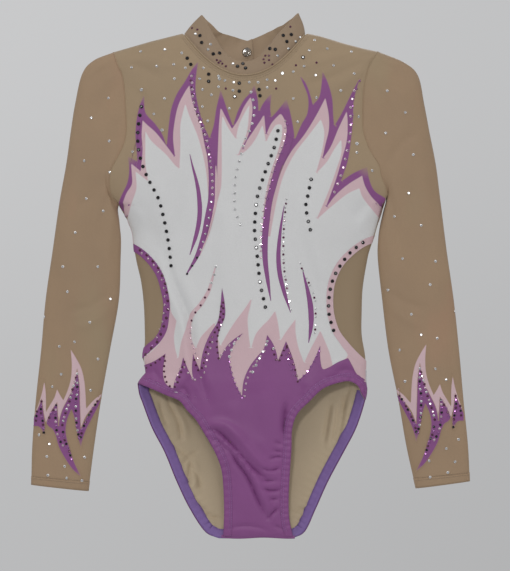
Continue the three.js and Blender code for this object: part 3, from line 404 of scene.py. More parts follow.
# ------------------------------------------------------------------ curves
def spline(points, step=1.5):
    """A smooth open line through points, sampled about every step."""
    p = np.array([q[:2] for q in points], float)
    if len(p) < 3:
        n = max(1, int(np.hypot(*(p[-1] - p[0])) / step))
        t = np.linspace(0, 1, n + 1)[:, None]
        return p[0] + (p[-1] - p[0]) * t
    ends = np.vstack([2 * p[0] - p[1], p, 2 * p[-1] - p[-2]])
    out = []
    for a, b, c, d in zip(ends, ends[1:], ends[2:], ends[3:]):
        n = max(1, int(math.ceil(np.hypot(*(c - b)) / step)))
        k = np.sqrt([max(np.hypot(*(b - a)), 1e-6), max(np.hypot(*(c - b)), 1e-6),
                     max(np.hypot(*(d - c)), 1e-6)])
        m1 = (c - b) + k[1] * ((b - a) / k[0] - (c - a) / (k[0] + k[1]))
        m2 = (c - b) + k[1] * ((d - c) / k[2] - (d - b) / (k[1] + k[2]))
        t = (np.arange(n) / n)[:, None]
        out.append((2 * t**3 - 3 * t**2 + 1) * b + (t**3 - 2 * t**2 + t) * m1
                   + (3 * t**2 - 2 * t**3) * c + (t**3 - t**2) * m2)
    out.append(p[-1:])
    return np.vstack(out)


def outline(*tables, step=1.5, closed=True):
    """A line whose points marked with a third value are corners."""
    points = [q for table in tables for q in table]
    if closed:
        points = points + [points[0]]
    strokes, run = [], [points[0]]
    for q in points[1:]:
        run.append(q)
        if len(q) > 2:
            strokes.append(spline(run, step)[:-1])
            run = [q]
    if len(run) > 1:
        strokes.append(spline(run, step)[:-1])
    if not closed:
        strokes.append(np.array([points[-1][:2]], float))
    return np.vstack(strokes)


def length_along(p):
    """How far along a line each of its points is."""
    return np.concatenate([[0], np.cumsum(np.hypot(*np.diff(p, axis=0).T))])


def square_to(p):
    """Unit directions square to a line."""
    along = np.gradient(p, axis=0)
    along /= np.hypot(along[:, 0], along[:, 1])[:, None]
    return np.column_stack([-along[:, 1], along[:, 0]])


def band(line, widths):
    """The outline of a line widened to both sides."""
    p = spline(line, STRIP_STEP)
    run = length_along(p)
    across = square_to(p)
    w = np.interp(run / run[-1], np.linspace(0, 1, len(widths)), widths)[:, None] / 2
    return np.vstack([p + across * w, (p - across * w)[::-1]])


def inside(points, loops):
    """Whether each point is inside the loops, by the even-odd rule."""
    x, z = points[:, 0], points[:, 1]
    hit = np.zeros(len(points), bool)
    for loop in loops:
        nxt = np.roll(loop, -1, axis=0)
        for (x0, z0), (x1, z1) in zip(loop, nxt):
            if z0 != z1:
                crosses = (z0 > z) != (z1 > z)
                hit ^= crosses & (x < (x1 - x0) * (z - z0) / (z1 - z0) + x0)
    return hit


def nearest_on(points, line, chunk=4000):
    """Distance from each point to a line, and how far along the line that is."""
    a, b = line[:-1], line[1:]
    d = b - a
    length = np.maximum((d**2).sum(1), 1e-9)
    run = np.concatenate([[0], np.cumsum(np.sqrt(length))[:-1]])
    dist, at = np.empty(len(points)), np.empty(len(points))
    for i in range(0, len(points), chunk):
        p = points[i:i + chunk, None, :]
        t = np.clip(((p - a) * d).sum(2) / length, 0, 1)
        q = a + t[..., None] * d - p
        dd = (q**2).sum(2)
        k = dd.argmin(1)
        rows = np.arange(len(k))
        dist[i:i + chunk] = np.sqrt(dd[rows, k])
        at[i:i + chunk] = run[k] + t[rows, k] * np.sqrt(length[k])
    return dist, at


def relief(points, folds):
    """Height of the folds at each point."""
    h = np.zeros(len(points))
    for line, width, height in folds:
        s = spline(line, 3.0)
        reach = 3.4 * width
        near = np.all((points > s.min(0) - reach) & (points < s.max(0) + reach), axis=1)
        if not near.any():
            continue
        total = np.hypot(*np.diff(s, axis=0).T).sum()
        d, at = nearest_on(points[near], s)
        taper = np.clip(np.minimum(at, total - at) / (0.3 * total), 0, 1)
        fold = np.exp(-0.5 * (d / width) ** 2) * (0.15 + 0.85 * np.sin(taper * math.pi / 2))
        h[near] += height * fold
    return h


# ------------------------------------------------------------------ the body's surface
def falling(points):
    """A side line without the points at which it turns back up."""
    p = outline(points, step=1.0, closed=False)
    keep = np.concatenate([[True], np.diff(np.minimum.accumulate(p[:, 1])) < 0])
    return p[keep]


RIGHT_EDGE = falling(RIGHT_ARMHOLE[:-1] + RIGHT_SIDE)
LEFT_EDGE = falling(LEFT_ARMHOLE[:-1] + LEFT_SIDE)
RIGHT_LEG_LINE, LEFT_LEG_LINE = spline(RIGHT_LEG, 1.5), spline(LEFT_LEG, 1.5)


def edges(z):
    """The body's middle and half width at each height."""
    right = np.interp(-z, -RIGHT_EDGE[:, 1], RIGHT_EDGE[:, 0])
    left = np.interp(-z, -LEFT_EDGE[:, 1], LEFT_EDGE[:, 0])
    return (left + right) / 2, (left - right) / 2


def shoulder(x):
    """Height of the shoulder line at each x."""
    return np.interp(x, [q[0] for q in SHOULDER], [q[1] for q in SHOULDER])


ARMHOLE_FADE_FOOT, ARMHOLE_FADE_SPAN = -250, 100
OPENING_POWER, EDGE_POWER, YOKE_POWER, SECTION_POWER = 3.5, 16, 2.5, 2.2


def plain_depth(x, z):
    """Half depth of the hanging body without its folds."""
    middle, half = edges(z)
    across = np.clip((x - middle) / half, -1, 1)
    up = np.clip((z - ARMHOLE_MIDDLE) / ARMHOLE_HALF_HEIGHT, -1, 1)
    opening = ARMHOLE_HALF_DEPTH * (1 - np.abs(up) ** OPENING_POWER) ** (1 / OPENING_POWER)
    near = np.clip((z - ARMHOLE_FADE_FOOT) / ARMHOLE_FADE_SPAN, 0, 1)
    eased = ARMHOLE_HALF_DEPTH * near * near * (3 - 2 * near)
    at_edge = np.abs(across) ** EDGE_POWER
    at_armhole = opening * at_edge + eased * (1 - at_edge)
    below = np.clip((shoulder(x) - z) / YOKE_RISE, 0, 1)
    centre = np.interp(-z, [-q[0] for q in DEPTHS], [q[1] for q in DEPTHS])
    full = centre * np.sqrt(1 - (1 - below) ** YOKE_POWER)
    edge = np.minimum(at_armhole, full)
    return edge + (full - edge) * (1 - np.abs(across) ** SECTION_POWER) ** 0.5


def gather(points, line, reach, pitch, height, phase):
    """Small puckers along an elastic edge."""
    d, at = nearest_on(points, line)
    wave = np.sin(2 * math.pi * at / pitch + phase + 1.7 * np.sin(at / 17.0 + phase))
    return height * wave * np.exp(-(d / reach) ** 2)


LEG_PUCKER_TOP = -385
CROTCH_CALM = 14


def body_relief(face, x, z):
    """Height of the folds, waves and puckers at each point of the body."""
    p = np.column_stack([x, z])
    middle, half = edges(z)
    across = np.clip(np.abs((x - middle) / half), 0, 1)
    calm = np.clip((shoulder(x) - z) / 18, 0, 1) * (1 - across**8)
    h = relief(p, FOLDS_FRONT if face == FRONT else FOLDS_BACK)
    h += 0.5 * np.sin(x / 17 + 0.6 * np.sin(z / 61)) * np.sin(z / 83 + x / 90 + face)
    h += 0.16 * np.sin(x / 5.1 + z / 31 + face) * np.sin(z / 23 - x / 47)
    h *= calm
    low = z < LEG_PUCKER_TOP
    if low.any():
        q = p[low]
        if face == FRONT:
            h[low] += gather(q, RIGHT_LEG_LINE, 9, 7.5, 0.35, 0.4)
            h[low] += gather(q, LEFT_LEG_LINE, 9, 6.4, 0.5, 1.1)
        else:
            right = RIGHT_EDGE[RIGHT_EDGE[:, 1] < -388]
            left = LEFT_EDGE[LEFT_EDGE[:, 1] < -388]
            fade = 1 - across[low] ** 12
            h[low] += fade * gather(q, right, 15, 8.2, 0.8, 0.9)
            h[low] += fade * gather(q, left, 15, 7.4, 0.8, 2.0)
    return h * np.clip((z - CROTCH) / CROTCH_CALM, 0, 1)


LEAST_DEPTH = 0.15
SLOPE_STEP = 0.12
NEAR_EDGE = 0.9992  # slopes are taken no further out than this share of the half width


def body_depth(face, x, z):
    return np.maximum(plain_depth(x, z) + body_relief(face, x, z), LEAST_DEPTH)


def body_point(face, x, z):
    """Points on the body's front or back, and the outward directions there."""
    middle, half = edges(z)
    x = middle + half * np.clip((x - middle) / half, -1, 1)
    inner = middle + half * np.clip((x - middle) / half, -NEAR_EDGE, NEAR_EDGE)
    e = SLOPE_STEP
    slope_x = (body_depth(face, inner + e, z) - body_depth(face, inner - e, z)) / (2 * e)
    slope_z = (body_depth(face, inner, z + e) - body_depth(face, inner, z - e)) / (2 * e)
    normal = np.column_stack([-slope_x, np.full(len(x), float(face)), -slope_z])
    normal /= np.linalg.norm(normal, axis=1)[:, None]
    base = np.column_stack([x, face * body_depth(face, x, z), z])
    return base, normal


def to_flat(x, z):
    """A flatter chart of the body, in which its steep sides are spread out."""
    middle, half = edges(z)
    across = np.clip((x - middle) / half, -1, 1)
    below = (shoulder(x) - z) / YOKE_RISE
    near = np.arccos(np.clip(1 - below, -1, 1))
    v = np.where(below < 1, -YOKE_RISE * near, -YOKE_RISE * (math.pi / 2 + below - 1))
    return (2 / math.pi) * np.arcsin(across) * half, v


def from_flat(u, v):
    """The way back from the flatter chart, found in a few rounds."""
    z = v + YOKE_RISE * (math.pi / 2 - 1)
    for _ in range(8):
        middle, half = edges(z)
        x = middle + half * np.sin(np.clip(u / half, -1, 1) * math.pi / 2)
        phi = -v / YOKE_RISE
        below = np.where(phi < math.pi / 2, 1 - np.cos(np.maximum(phi, 0)), phi - math.pi / 2 + 1)
        z = shoulder(x) - below * YOKE_RISE
    return x, z


def inner_rings(loops, rim):
    """Points that lie just the rim's width inside the loops."""
    rings = []
    for loop in loops:
        along = np.roll(loop, -1, axis=0) - np.roll(loop, 1, axis=0)
        along /= np.maximum(np.hypot(along[:, 0], along[:, 1]), 1e-6)[:, None]
        across = np.column_stack([-along[:, 1], along[:, 0]]) * rim
        both = np.vstack([loop + across, loop - across])
        rings.append(both[inside(both, loops)])
    ring = np.vstack(rings)
    for loop in loops:
        ring = ring[nearest_on(ring, np.vstack([loop, loop[:1]]))[0] > 0.94 * rim]
    return ring


def triangulate(loops, chart, unchart, spacing, box, rim=None):
    """Triangles that fill the loops: (x, z) points and index triples."""
    (u0, v0), (u1, v1) = box
    gu, gv = np.meshgrid(np.arange(u0, u1, spacing[0]), np.arange(v0, v1, spacing[1]))
    gu[1::2] += spacing[0] / 2
    x, z = unchart(gu.ravel(), gv.ravel())
    grid = np.column_stack([x, z])
    grid = grid[inside(grid, loops)]
    for loop in loops:
        ring = np.vstack([loop, loop[:1]])
        grid = grid[nearest_on(grid, ring)[0] > 0.55 * min(spacing) + (rim or 0)]
    points = np.vstack(loops + ([inner_rings(loops, rim)] if rim else []) + [grid])
    constraint, start = [], 0
    for loop in loops:
        n = len(loop)
        constraint += [(start + i, start + (i + 1) % n) for i in range(n)]
        start += n
    cu, cv = chart(points[:, 0], points[:, 1])
    flat = [Vector((float(a), float(b))) for a, b in zip(cu, cv)]
    verts, _, faces, origins, _, _ = delaunay_2d_cdt(flat, constraint, [], 0, 1e-5)
    xz = np.empty((len(verts), 2))
    for i, (v, o) in enumerate(zip(verts, origins)):
        if o:
            xz[i] = points[o[0]]
        else:
            a, b = unchart(np.array([v.x]), np.array([v.y]))
            xz[i] = (a[0], b[0])
    tri = np.array([f for f in faces if len(f) == 3])
    tri = tri[inside(xz[tri].mean(1), loops)]
    used = np.unique(tri)
    index = np.full(len(xz), -1)
    index[used] = np.arange(len(used))
    return xz[used], index[tri]


def boundary(tri):
    """The directed edges that only one triangle has."""
    pairs = {}
    for a, b, c in tri:
        for e in ((a, b), (b, c), (c, a)):
            pairs[e] = True
    return [e for e in pairs if (e[1], e[0]) not in pairs]


def make(name, points, faces, sharp=50):
    """An object from points in mm."""
    mesh = bpy.data.meshes.new(name)
    mesh.from_pydata((np.asarray(points) * MM).tolist(), [], [tuple(int(i) for i in f) for f in faces])
    mesh.update()
    mesh.shade_smooth()
    if sharp:
        mesh.set_sharp_from_angle(angle=math.radians(sharp))
    obj = bpy.data.objects.new(name, mesh)
    scene.collection.objects.link(obj)
    return obj


def closed_skin(name, outer, inner, tri, facing):
    """A thin closed piece between two like-numbered surfaces; facing is its outer side."""
    a, b, c = outer[tri[:, 0]], outer[tri[:, 1]], outer[tri[:, 2]]
    if (np.cross(b - a, c - a) * facing).sum() < 0:
        tri = tri[:, ::-1]
    n = len(outer)
    faces = [tuple(t) for t in tri] + [(t[0] + n, t[2] + n, t[1] + n) for t in tri]
    faces += [(b, a, a + n, b + n) for a, b in boundary([tuple(t) for t in tri])]
    return make(name, np.vstack([outer, inner]), faces)


def edge_distance(points, loops):
    """Distance from each point to the nearest loop."""
    return np.min([nearest_on(points, np.vstack([p, p[:1]]))[0] for p in loops], axis=0)


def set_fade(obj, values):
    """Stores how much of its own colour the cloth shows at each point."""
    attribute = obj.data.attributes.new("fade", "FLOAT", "POINT")
    attribute.data.foreach_set("value", np.asarray(values, np.float32))


def body_piece(name, face, loops, level, thickness=KNIT, spacing=MESH["back"], soft=None, tips=()):
    """A piece of cloth on the body. soft fades its colour out along its edge."""
    loops = [np.asarray(loop, float) for loop in loops]
    clipped = []
    for loop in loops:
        middle, half = edges(loop[:, 1])
        x = middle + half * np.clip((loop[:, 0] - middle) / half, -1, 1)
        z = np.minimum(loop[:, 1], shoulder(x) - 0.02)
        q = np.column_stack([x, z])
        keep = np.hypot(*(q - np.roll(q, 1, axis=0)).T) > 0.05
        clipped.append(q[keep])
    u, v = to_flat(*np.vstack(clipped).T)
    box = ((u.min(), v.min()), (u.max(), v.max()))
    xz, tri = triangulate(clipped, to_flat, from_flat, spacing, box, soft)
    base, normal = body_point(face, xz[:, 0], xz[:, 1])
    obj = closed_skin(name, base + normal * level, base + normal * (level - thickness), tri,
                      np.array([0, face, 0]))
    if soft:
        fade = np.clip(edge_distance(xz, clipped) / soft, 0, 1)
        for tip in tips:
            fade = np.minimum(fade, np.clip((np.hypot(*(xz - tip).T) - 1) / 13, 0, 1) * 0.9 + 0.1)
        set_fade(obj, np.concatenate([fade, fade]))
    return obj


# ------------------------------------------------------------------ materials
def srgb(r, g, b, lift=1.0):
    """Linear colour from 0-255 values."""
    def one(v):
        v = v / 255
        return v / 12.92 if v <= 0.04045 else ((v + 0.055) / 1.055) ** 2.4
    return tuple(min(0.95, one(v) * lift) for v in (r, g, b)) + (1.0,)


LIGHT = 1 / 0.66  # from the brightness seen in this light to the cloth's own
NUDE = srgb(142, 123, 99, LIGHT)
NUDE_MESH = srgb(146, 123, 99, LIGHT)
WHITE = srgb(190, 190, 190, LIGHT)
PINK = srgb(186, 160, 165, LIGHT)
PURPLE = srgb(122, 70, 120, LIGHT)
PURPLE_EDGE = srgb(112, 88, 140, LIGHT)
LINING = srgb(164, 148, 124, LIGHT)


class Nodes:
    """A small wrapper that adds and joins shader nodes."""

    def __init__(self, name):
        self.material = bpy.data.materials.new(name)
        self.material.use_nodes = True
        self.tree = self.material.node_tree
        self.tree.nodes.clear()
        self.output = self.add("ShaderNodeOutputMaterial")
        self.shader = self.add("ShaderNodeBsdfPrincipled")
        self.join(self.shader, "BSDF", self.output, "Surface")
        self.place = self.add("ShaderNodeTexCoord")

    def add(self, kind, **settings):
        node = self.tree.nodes.new(kind)
        for key, value in settings.items():
            setattr(node, key, value)
        return node

    def join(self, a, out, b, into):
        self.tree.links.new(a.outputs[out], b.inputs[into])

    def noise(self, scale, detail=3.0, stretch=None):
        node = self.add("ShaderNodeTexNoise")
        node.inputs["Scale"].default_value = scale
        node.inputs["Detail"].default_value = detail
        if stretch:
            mapping = self.add("ShaderNodeMapping")
            mapping.inputs["Scale"].default_value = stretch
            self.join(self.place, "Object", mapping, "Vector")
            self.join(mapping, "Vector", node, "Vector")
        else:
            self.join(self.place, "Object", node, "Vector")
        return node

    def mix(self, factor, a, b):
        """Mixes two colours, each a node or a value, by a node's output or a number."""
        node = self.add("ShaderNodeMix", data_type="RGBA")
        for value, socket in ((a, node.inputs[6]), (b, node.inputs[7])):
            if isinstance(value, tuple):
                socket.default_value = value
            else:
                self.tree.links.new(value, socket)
        if isinstance(factor, float):
            node.inputs[0].default_value = factor
        else:
            self.tree.links.new(factor, node.inputs[0])
        return node.outputs[2]

    def ramp(self, source, low, high, to_low=0.0, to_high=1.0):
        node = self.add("ShaderNodeMapRange")
        node.inputs["From Min"].default_value = low
        node.inputs["From Max"].default_value = high
        node.inputs["To Min"].default_value = to_low
        node.inputs["To Max"].default_value = to_high
        self.tree.links.new(source, node.inputs["Value"])
        return node.outputs["Result"]


def darker(colour, by):
    """A colour times a factor, which may also be above 1."""
    return tuple(c * by for c in colour[:3]) + (1.0,)


def knit(name, colour, under=None, roughness=0.62, sheen=0.15, rib=0.55, depth=0.05, wear=0.07,
         alpha=1.0, tints=None, below=None):
    """A fine stretch knit: columns of stitches, soft shade changes, and a slight sheen.
    under is the colour that shows where the print fades out, tints are two hues its streaks
    take, and below is (from height, to height, how dark) for painted shade that grows downwards."""
    n = Nodes(name)
    broad = n.noise(14.0, 4.0)
    fine = n.noise(900.0, 2.0, (1.0, 1.0, 2.2))
    shade = n.mix(n.ramp(broad.outputs["Fac"], 0.3, 0.7), darker(colour, 1 - wear),
                  darker(colour, 1 + 0.5 * wear))
    shade = n.mix(n.ramp(fine.outputs["Fac"], 0.35, 0.7, 0.0, 0.35), shade, darker(colour, 0.82))
    if tints:
        streak = n.noise(11.0, 3.0, (1.0, 1.0, 0.35))
        for tint, low, high in ((tints[0], 0.40, 0.25), (tints[1], 0.55, 0.75)):
            shade = n.mix(n.ramp(streak.outputs["Fac"], low, high), shade, tint)
    # painted shade: below darkens the colour towards the lower body, where less light falls
    if below:
        height = n.add("ShaderNodeSeparateXYZ")
        n.join(n.place, "Object", height, "Vector")
        lower = n.ramp(height.outputs["Z"], below[0] * MM, below[1] * MM)
        shade = n.mix(lower, shade, darker(colour, below[2]))
    if under:
        fade = n.add("ShaderNodeAttribute", attribute_name="fade", attribute_type="GEOMETRY")
        shade = n.mix(n.ramp(fade.outputs["Fac"], 0.0, 1.0), under, shade)
    n.tree.links.new(shade, n.shader.inputs["Base Color"])
    columns = n.add("ShaderNodeTexWave", wave_type="BANDS", bands_direction="X")
    columns.inputs["Scale"].default_value = 1 / (rib * MM) / 20 * math.pi
    columns.inputs["Distortion"].default_value = 1.2
    columns.inputs["Detail"].default_value = 1.0
    courses = n.add("ShaderNodeTexWave", wave_type="BANDS", bands_direction="Z")
    courses.inputs["Scale"].default_value = 1 / (rib * 0.8 * MM) / 20 * math.pi
    courses.inputs["Distortion"].default_value = 1.2
    for wave in (columns, courses):
        n.join(n.place, "Object", wave, "Vector")
    weave = n.add("ShaderNodeMath", operation="MULTIPLY")
    n.tree.links.new(columns.outputs["Fac"], weave.inputs[0])
    n.tree.links.new(courses.outputs["Fac"], weave.inputs[1])
    bump = n.add("ShaderNodeBump")
    bump.inputs["Strength"].default_value = 0.35
    bump.inputs["Distance"].default_value = depth * MM
    n.tree.links.new(weave.outputs[0], bump.inputs["Height"])
    crumple = n.add("ShaderNodeBump")
    crumple.inputs["Strength"].default_value = 0.35
    crumple.inputs["Distance"].default_value = 0.9 * MM
    soft = n.noise(60.0, 3.0, (1.0, 1.0, 0.45))
    n.tree.links.new(soft.outputs["Fac"], crumple.inputs["Height"])
    n.join(bump, "Normal", crumple, "Normal")
    n.join(crumple, "Normal", n.shader, "Normal")
    rough = n.ramp(broad.outputs["Fac"], 0.3, 0.7, roughness - 0.06, roughness + 0.06)
    n.tree.links.new(rough, n.shader.inputs["Roughness"])
    n.shader.inputs["Specular IOR Level"].default_value = 0.35
    n.shader.inputs["Sheen Weight"].default_value = sheen
    n.shader.inputs["Sheen Roughness"].default_value = 0.4
    n.shader.inputs["Alpha"].default_value = alpha
    return n.material


def plain(name, colour, roughness=0.3, metallic=0.0, vary=0.2, scale=300.0, coat=0.0,
          transmission=0.0):
    """A smooth material with small spots of shade."""
    n = Nodes(name)
    spots = n.noise(scale, 2.0)
    shade = n.mix(n.ramp(spots.outputs["Fac"], 0.3, 0.7), darker(colour, 1 - vary), colour)
    n.tree.links.new(shade, n.shader.inputs["Base Color"])
    rough = n.ramp(spots.outputs["Fac"], 0.3, 0.7, roughness * 0.8, roughness * 1.2)
    n.tree.links.new(rough, n.shader.inputs["Roughness"])
    n.shader.inputs["Metallic"].default_value = metallic
    n.shader.inputs["Coat Weight"].default_value = coat
    n.shader.inputs["Coat Roughness"].default_value = 0.05
    n.shader.inputs["Transmission Weight"].default_value = transmission
    return n.material


M = {
    # painted shade: the nude darkens to 0.86 between 170 and 250 mm down, where the body below the
    # yoke gets less of the front light
    "nude": knit("nude_knit", NUDE, below=(-170, -250, 0.86)),
    "collar": knit("collar_knit", srgb(134, 115, 95, LIGHT)),
    # painted light: the collar's inside faces get a lighter copy of the collar colour, for the light
    # that reaches into the neck
    "collar_inside_painted_light": knit("collar_painted_light_inside", srgb(164, 142, 118, LIGHT)),
    "sleeve": knit("nude_mesh", NUDE_MESH, rib=0.8, depth=0.06, roughness=0.7, alpha=0.94,
                   tints=(srgb(150, 119, 97, LIGHT), srgb(141, 125, 100, LIGHT))),
    "white": knit("white_knit", WHITE, under=PINK, wear=0.03, roughness=0.55),
    "pink": knit("pink_knit", PINK, under=PURPLE, wear=0.05),
    "pink_waist": knit("pink_waist_knit", PINK, under=WHITE, wear=0.05),
    "purple_flame": knit("purple_flame_knit", PURPLE, under=NUDE, wear=0.08),
    "purple_cuff": knit("purple_cuff_knit", PURPLE, under=NUDE_MESH, wear=0.08),
    "pink_cuff": knit("pink_cuff_knit", PINK, under=NUDE_MESH, wear=0.05),
    "purple_blade": knit("purple_blade_knit", PURPLE, under=darker(PURPLE, 0.85), wear=0.08),
    "pink_trim": knit("pink_trim_knit", PINK, wear=0.05),
    "purple": knit("purple_knit", PURPLE, under=darker(PURPLE, 0.8), wear=0.08, roughness=0.5,
                   sheen=0.1),
    "binding_inside": knit("binding_inside", PURPLE_EDGE, wear=0.1, roughness=0.6),
    "lining": knit("lining_tricot", LINING, rib=0.7, wear=0.06),
    "thread": plain("thread", srgb(135, 118, 100, LIGHT), 0.7),
    "thread_purple": plain("thread_purple", srgb(140, 100, 150, LIGHT), 0.6),
    "clear": plain("rhinestone_clear", (0.95, 0.95, 0.95, 1), 0.05, 1.0, 0.1, 700.0, 0.5),
    "dark": plain("rhinestone_dark", (0.006, 0.005, 0.008, 1), 0.12, 0.0, 0.4, 700.0, 0.15),
    "violet": plain("rhinestone_violet", (0.50, 0.20, 0.52, 1), 0.08, 0.8, 0.35, 700.0, 0.8),
    "rose": plain("rhinestone_rose", (0.92, 0.70, 0.80, 1), 0.06, 0.9, 0.2, 700.0, 0.6),
    "wine": plain("rhinestone_wine", (0.13, 0.02, 0.07, 1), 0.1, 0.3, 0.35, 700.0, 0.8),
    "snap": plain("snap_plastic", (0.66, 0.61, 0.54, 1), 0.12, 0.0, 0.12, 250.0, 0.8,
                  transmission=0.75),
}


def dress(obj, *names):
    for name in names:
        obj.data.materials.append(M[name])


def piece(obj, material, body="torso", nodes=(), blend=None):
    """Gives a finished piece its materials and its body, or bakes it in place when a blend is given,
    and hides the imported parts it stands for.
    """
    names = (material,) if isinstance(material, str) else material
    dress(obj, *names)
    if blend:
        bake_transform(obj)
    else:
        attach(obj, body)
    if nodes:
        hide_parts(*nodes)


# ------------------------------------------------------------------ body pieces
def neck_line(face, grow=0.4):
    """The neck opening's line on one face, made larger by grow."""
    angle = np.linspace(-math.pi / 2, math.pi / 2, 70)
    drop = NECK["front" if face == FRONT else "back"] + grow
    x = NECK["x"] + (NECK["half"] + grow) * np.sin(angle)
    return np.column_stack([x, NECK["z"] - drop * np.cos(angle) ** 2 - 0.3 * grow])


def shoulder_line(x0, x1):
    x = np.linspace(x0, x1, 50)
    return np.column_stack([x, shoulder(x) - 0.02])


def down(edge, z0, z1):
    """The part of an edge between two heights."""
    return edge[(edge[:, 1] <= z0) & (edge[:, 1] >= z1)]


def body_outline(face):
    """Round a body panel: neck, left side, waist and right side."""
    neck = neck_line(face)
    left = down(LEFT_EDGE, -21.5, WAIST)
    right = down(RIGHT_EDGE, -22.5, WAIST)
    return np.vstack([
        neck, shoulder_line(neck[-1, 0] + 1.5, left[0, 0] - 1), left,
        np.column_stack([np.linspace(left[-1, 0] - 3, right[-1, 0] + 3, 90), np.full(90, WAIST)]),
        right[::-1], shoulder_line(right[0, 0] + 1, neck[0, 0] - 1.5)])


def with_leg_cuts(top, bottom=CROTCH):
    """A brief outline: top edge, then down the left side and leg, the crotch, and up the right."""
    right, left = RIGHT_LEG_LINE, LEFT_LEG_LINE
    side_left = down(LEFT_EDGE, top[-1, 1] - 1, left[0, 1] + 1)
    side_right = down(RIGHT_EDGE, top[0, 1] - 1, right[0, 1] + 1)
    left, right = left[left[:, 1] > bottom], right[right[:, 1] > bottom]
    crotch = np.column_stack([np.linspace(left[-1, 0], right[-1, 0], 46), np.full(46, bottom)])
    return np.vstack([top, side_left, left, crotch, right[::-1], side_right[::-1]])


def to_sides(top, inset=0.0):
    """A brief outline that goes on to the side seams, as the back does."""
    left = down(LEFT_EDGE, top[-1, 1] - 1, CROTCH) - (inset, 0)
    right = down(RIGHT_EDGE, top[0, 1] - 1, CROTCH) + (inset, 0)
    crotch = np.column_stack([np.linspace(left[-1, 0] - 1.5, right[-1, 0] + 1.5, 60),
                              np.full(60, CROTCH)])
    return np.vstack([top, left, crotch, right[::-1]])


def straight_top(z, inset=0.0):
    """A level line from side to side."""
    middle, half = edges(np.array([z]))
    half = half - inset
    x = np.linspace(middle[0] - half[0], middle[0] + half[0], 90)
    return np.column_stack([x, np.full(90, z)])


keyhole_loop = outline(KEYHOLE, step=1.2)

front_body = body_piece("fabric_front_body", FRONT, [body_outline(FRONT)], LAYER["base"],
                        spacing=MESH["body"])
back_body = body_piece("fabric_back_body", BACK, [body_outline(BACK), keyhole_loop], LAYER["base"],
                       spacing=MESH["back"])
flame_purple = body_piece("fabric_flame_purple", FRONT, [outline(PURPLE_TOP, PURPLE_BOTTOM)],
                          LAYER["purple"], FILM, soft=1.1, tips=PURPLE_TIPS, spacing=MESH["flame"])
flame_pink = body_piece("fabric_flame_pink", FRONT, [outline(PINK_TOP, PINK_BOTTOM)],
                        LAYER["pink"], FILM, soft=0.9, spacing=MESH["flame"])
flame_white = body_piece("fabric_flame_white", FRONT, [outline(WHITE_TOP, WHITE_BOTTOM)],
                         LAYER["white"], FILM, soft=1.0, spacing=MESH["flame"])
waist_pink = body_piece("fabric_waist_pink", FRONT, [outline(PINK_WAIST_TOP, PINK_WAIST_BOTTOM)],
                        LAYER["waist"], FILM, soft=1.0, spacing=MESH["flame"])
brief_top = outline(BRIEF_TOP, closed=False)
brief_front = body_piece("fabric_brief_front", FRONT, [with_leg_cuts(brief_top)], LAYER["brief"],
                         KNIT, soft=0.8, spacing=MESH["brief"])
front_lining = body_piece("fabric_brief_front_lining", FRONT, [with_leg_cuts(straight_top(-374))],
                          LAYER["lining"], KNIT, spacing=MESH["lining"])
back_top = outline(BACK_BRIEF_TOP, closed=False)
brief_back = body_piece("fabric_brief_back", BACK, [to_sides(back_top)], LAYER["brief"], KNIT,
                        soft=0.8, spacing=MESH["body"])
back_lining = body_piece("fabric_brief_back_lining", BACK,
                         [to_sides(straight_top(-374, LINING_INSET), LINING_INSET)],
                         LAYER["lining"], KNIT, spacing=MESH["lining"])
liner_loop = outline([(-24, -440, 1), (30, -440, 1), (36, -470), (35, -520), (37, -556, 1),
                      (-24, -556, 1), (-24, -500)])
crotch_liner = body_piece("fabric_crotch_liner", FRONT, [liner_loop],
                          LAYER["liner"], KNIT, spacing=MESH["liner"])

blades = []
for blade_name, (line, widths) in BLADES.items():
    blades.append((blade_name, body_piece("trim_" + blade_name, FRONT, [band(line, widths)],
                                          LAYER["accent"], FILM, soft=0.5, spacing=MESH["trim"])))
ribbons = [body_piece("trim_" + ribbon_name, FRONT, [band(line, widths)], LAYER["accent"] + 0.06,
                      FILM, soft=0.5, spacing=MESH["trim"])
           for ribbon_name, (line, widths) in PINK_RIBBONS.items()]


def one_sided(line, width, side):
    """The outline of a strip that lies on one side of a line."""
    p = spline(line, STRIP_STEP)
    across = square_to(p) * side
    return np.vstack([p, (p + across * width)[::-1]])


trim_right = body_piece("trim_side_right", FRONT, [one_sided(RIGHT_CUTOUT, CUTOUT_TRIM, -1)],
                        LAYER["side trim"], FILM, soft=0.6, spacing=MESH["trim"])
trim_left = body_piece("trim_side_left", FRONT, [one_sided(LEFT_CUTOUT, CUTOUT_TRIM, 1)],
                       LAYER["side trim"], FILM, soft=0.6, spacing=MESH["trim"])


# ------------------------------------------------------------------ bound edges
# Places across a folded strip: -1 is the inner leaf's edge, 0 the fold, 1 the outer leaf's edge.
LEAF_STEPS = [-1.0, -0.72, -0.45, -0.22, -0.08, 0, 0.08, 0.22, 0.45, 0.72, 1.0]
LEAF_THICKNESS = 0.3


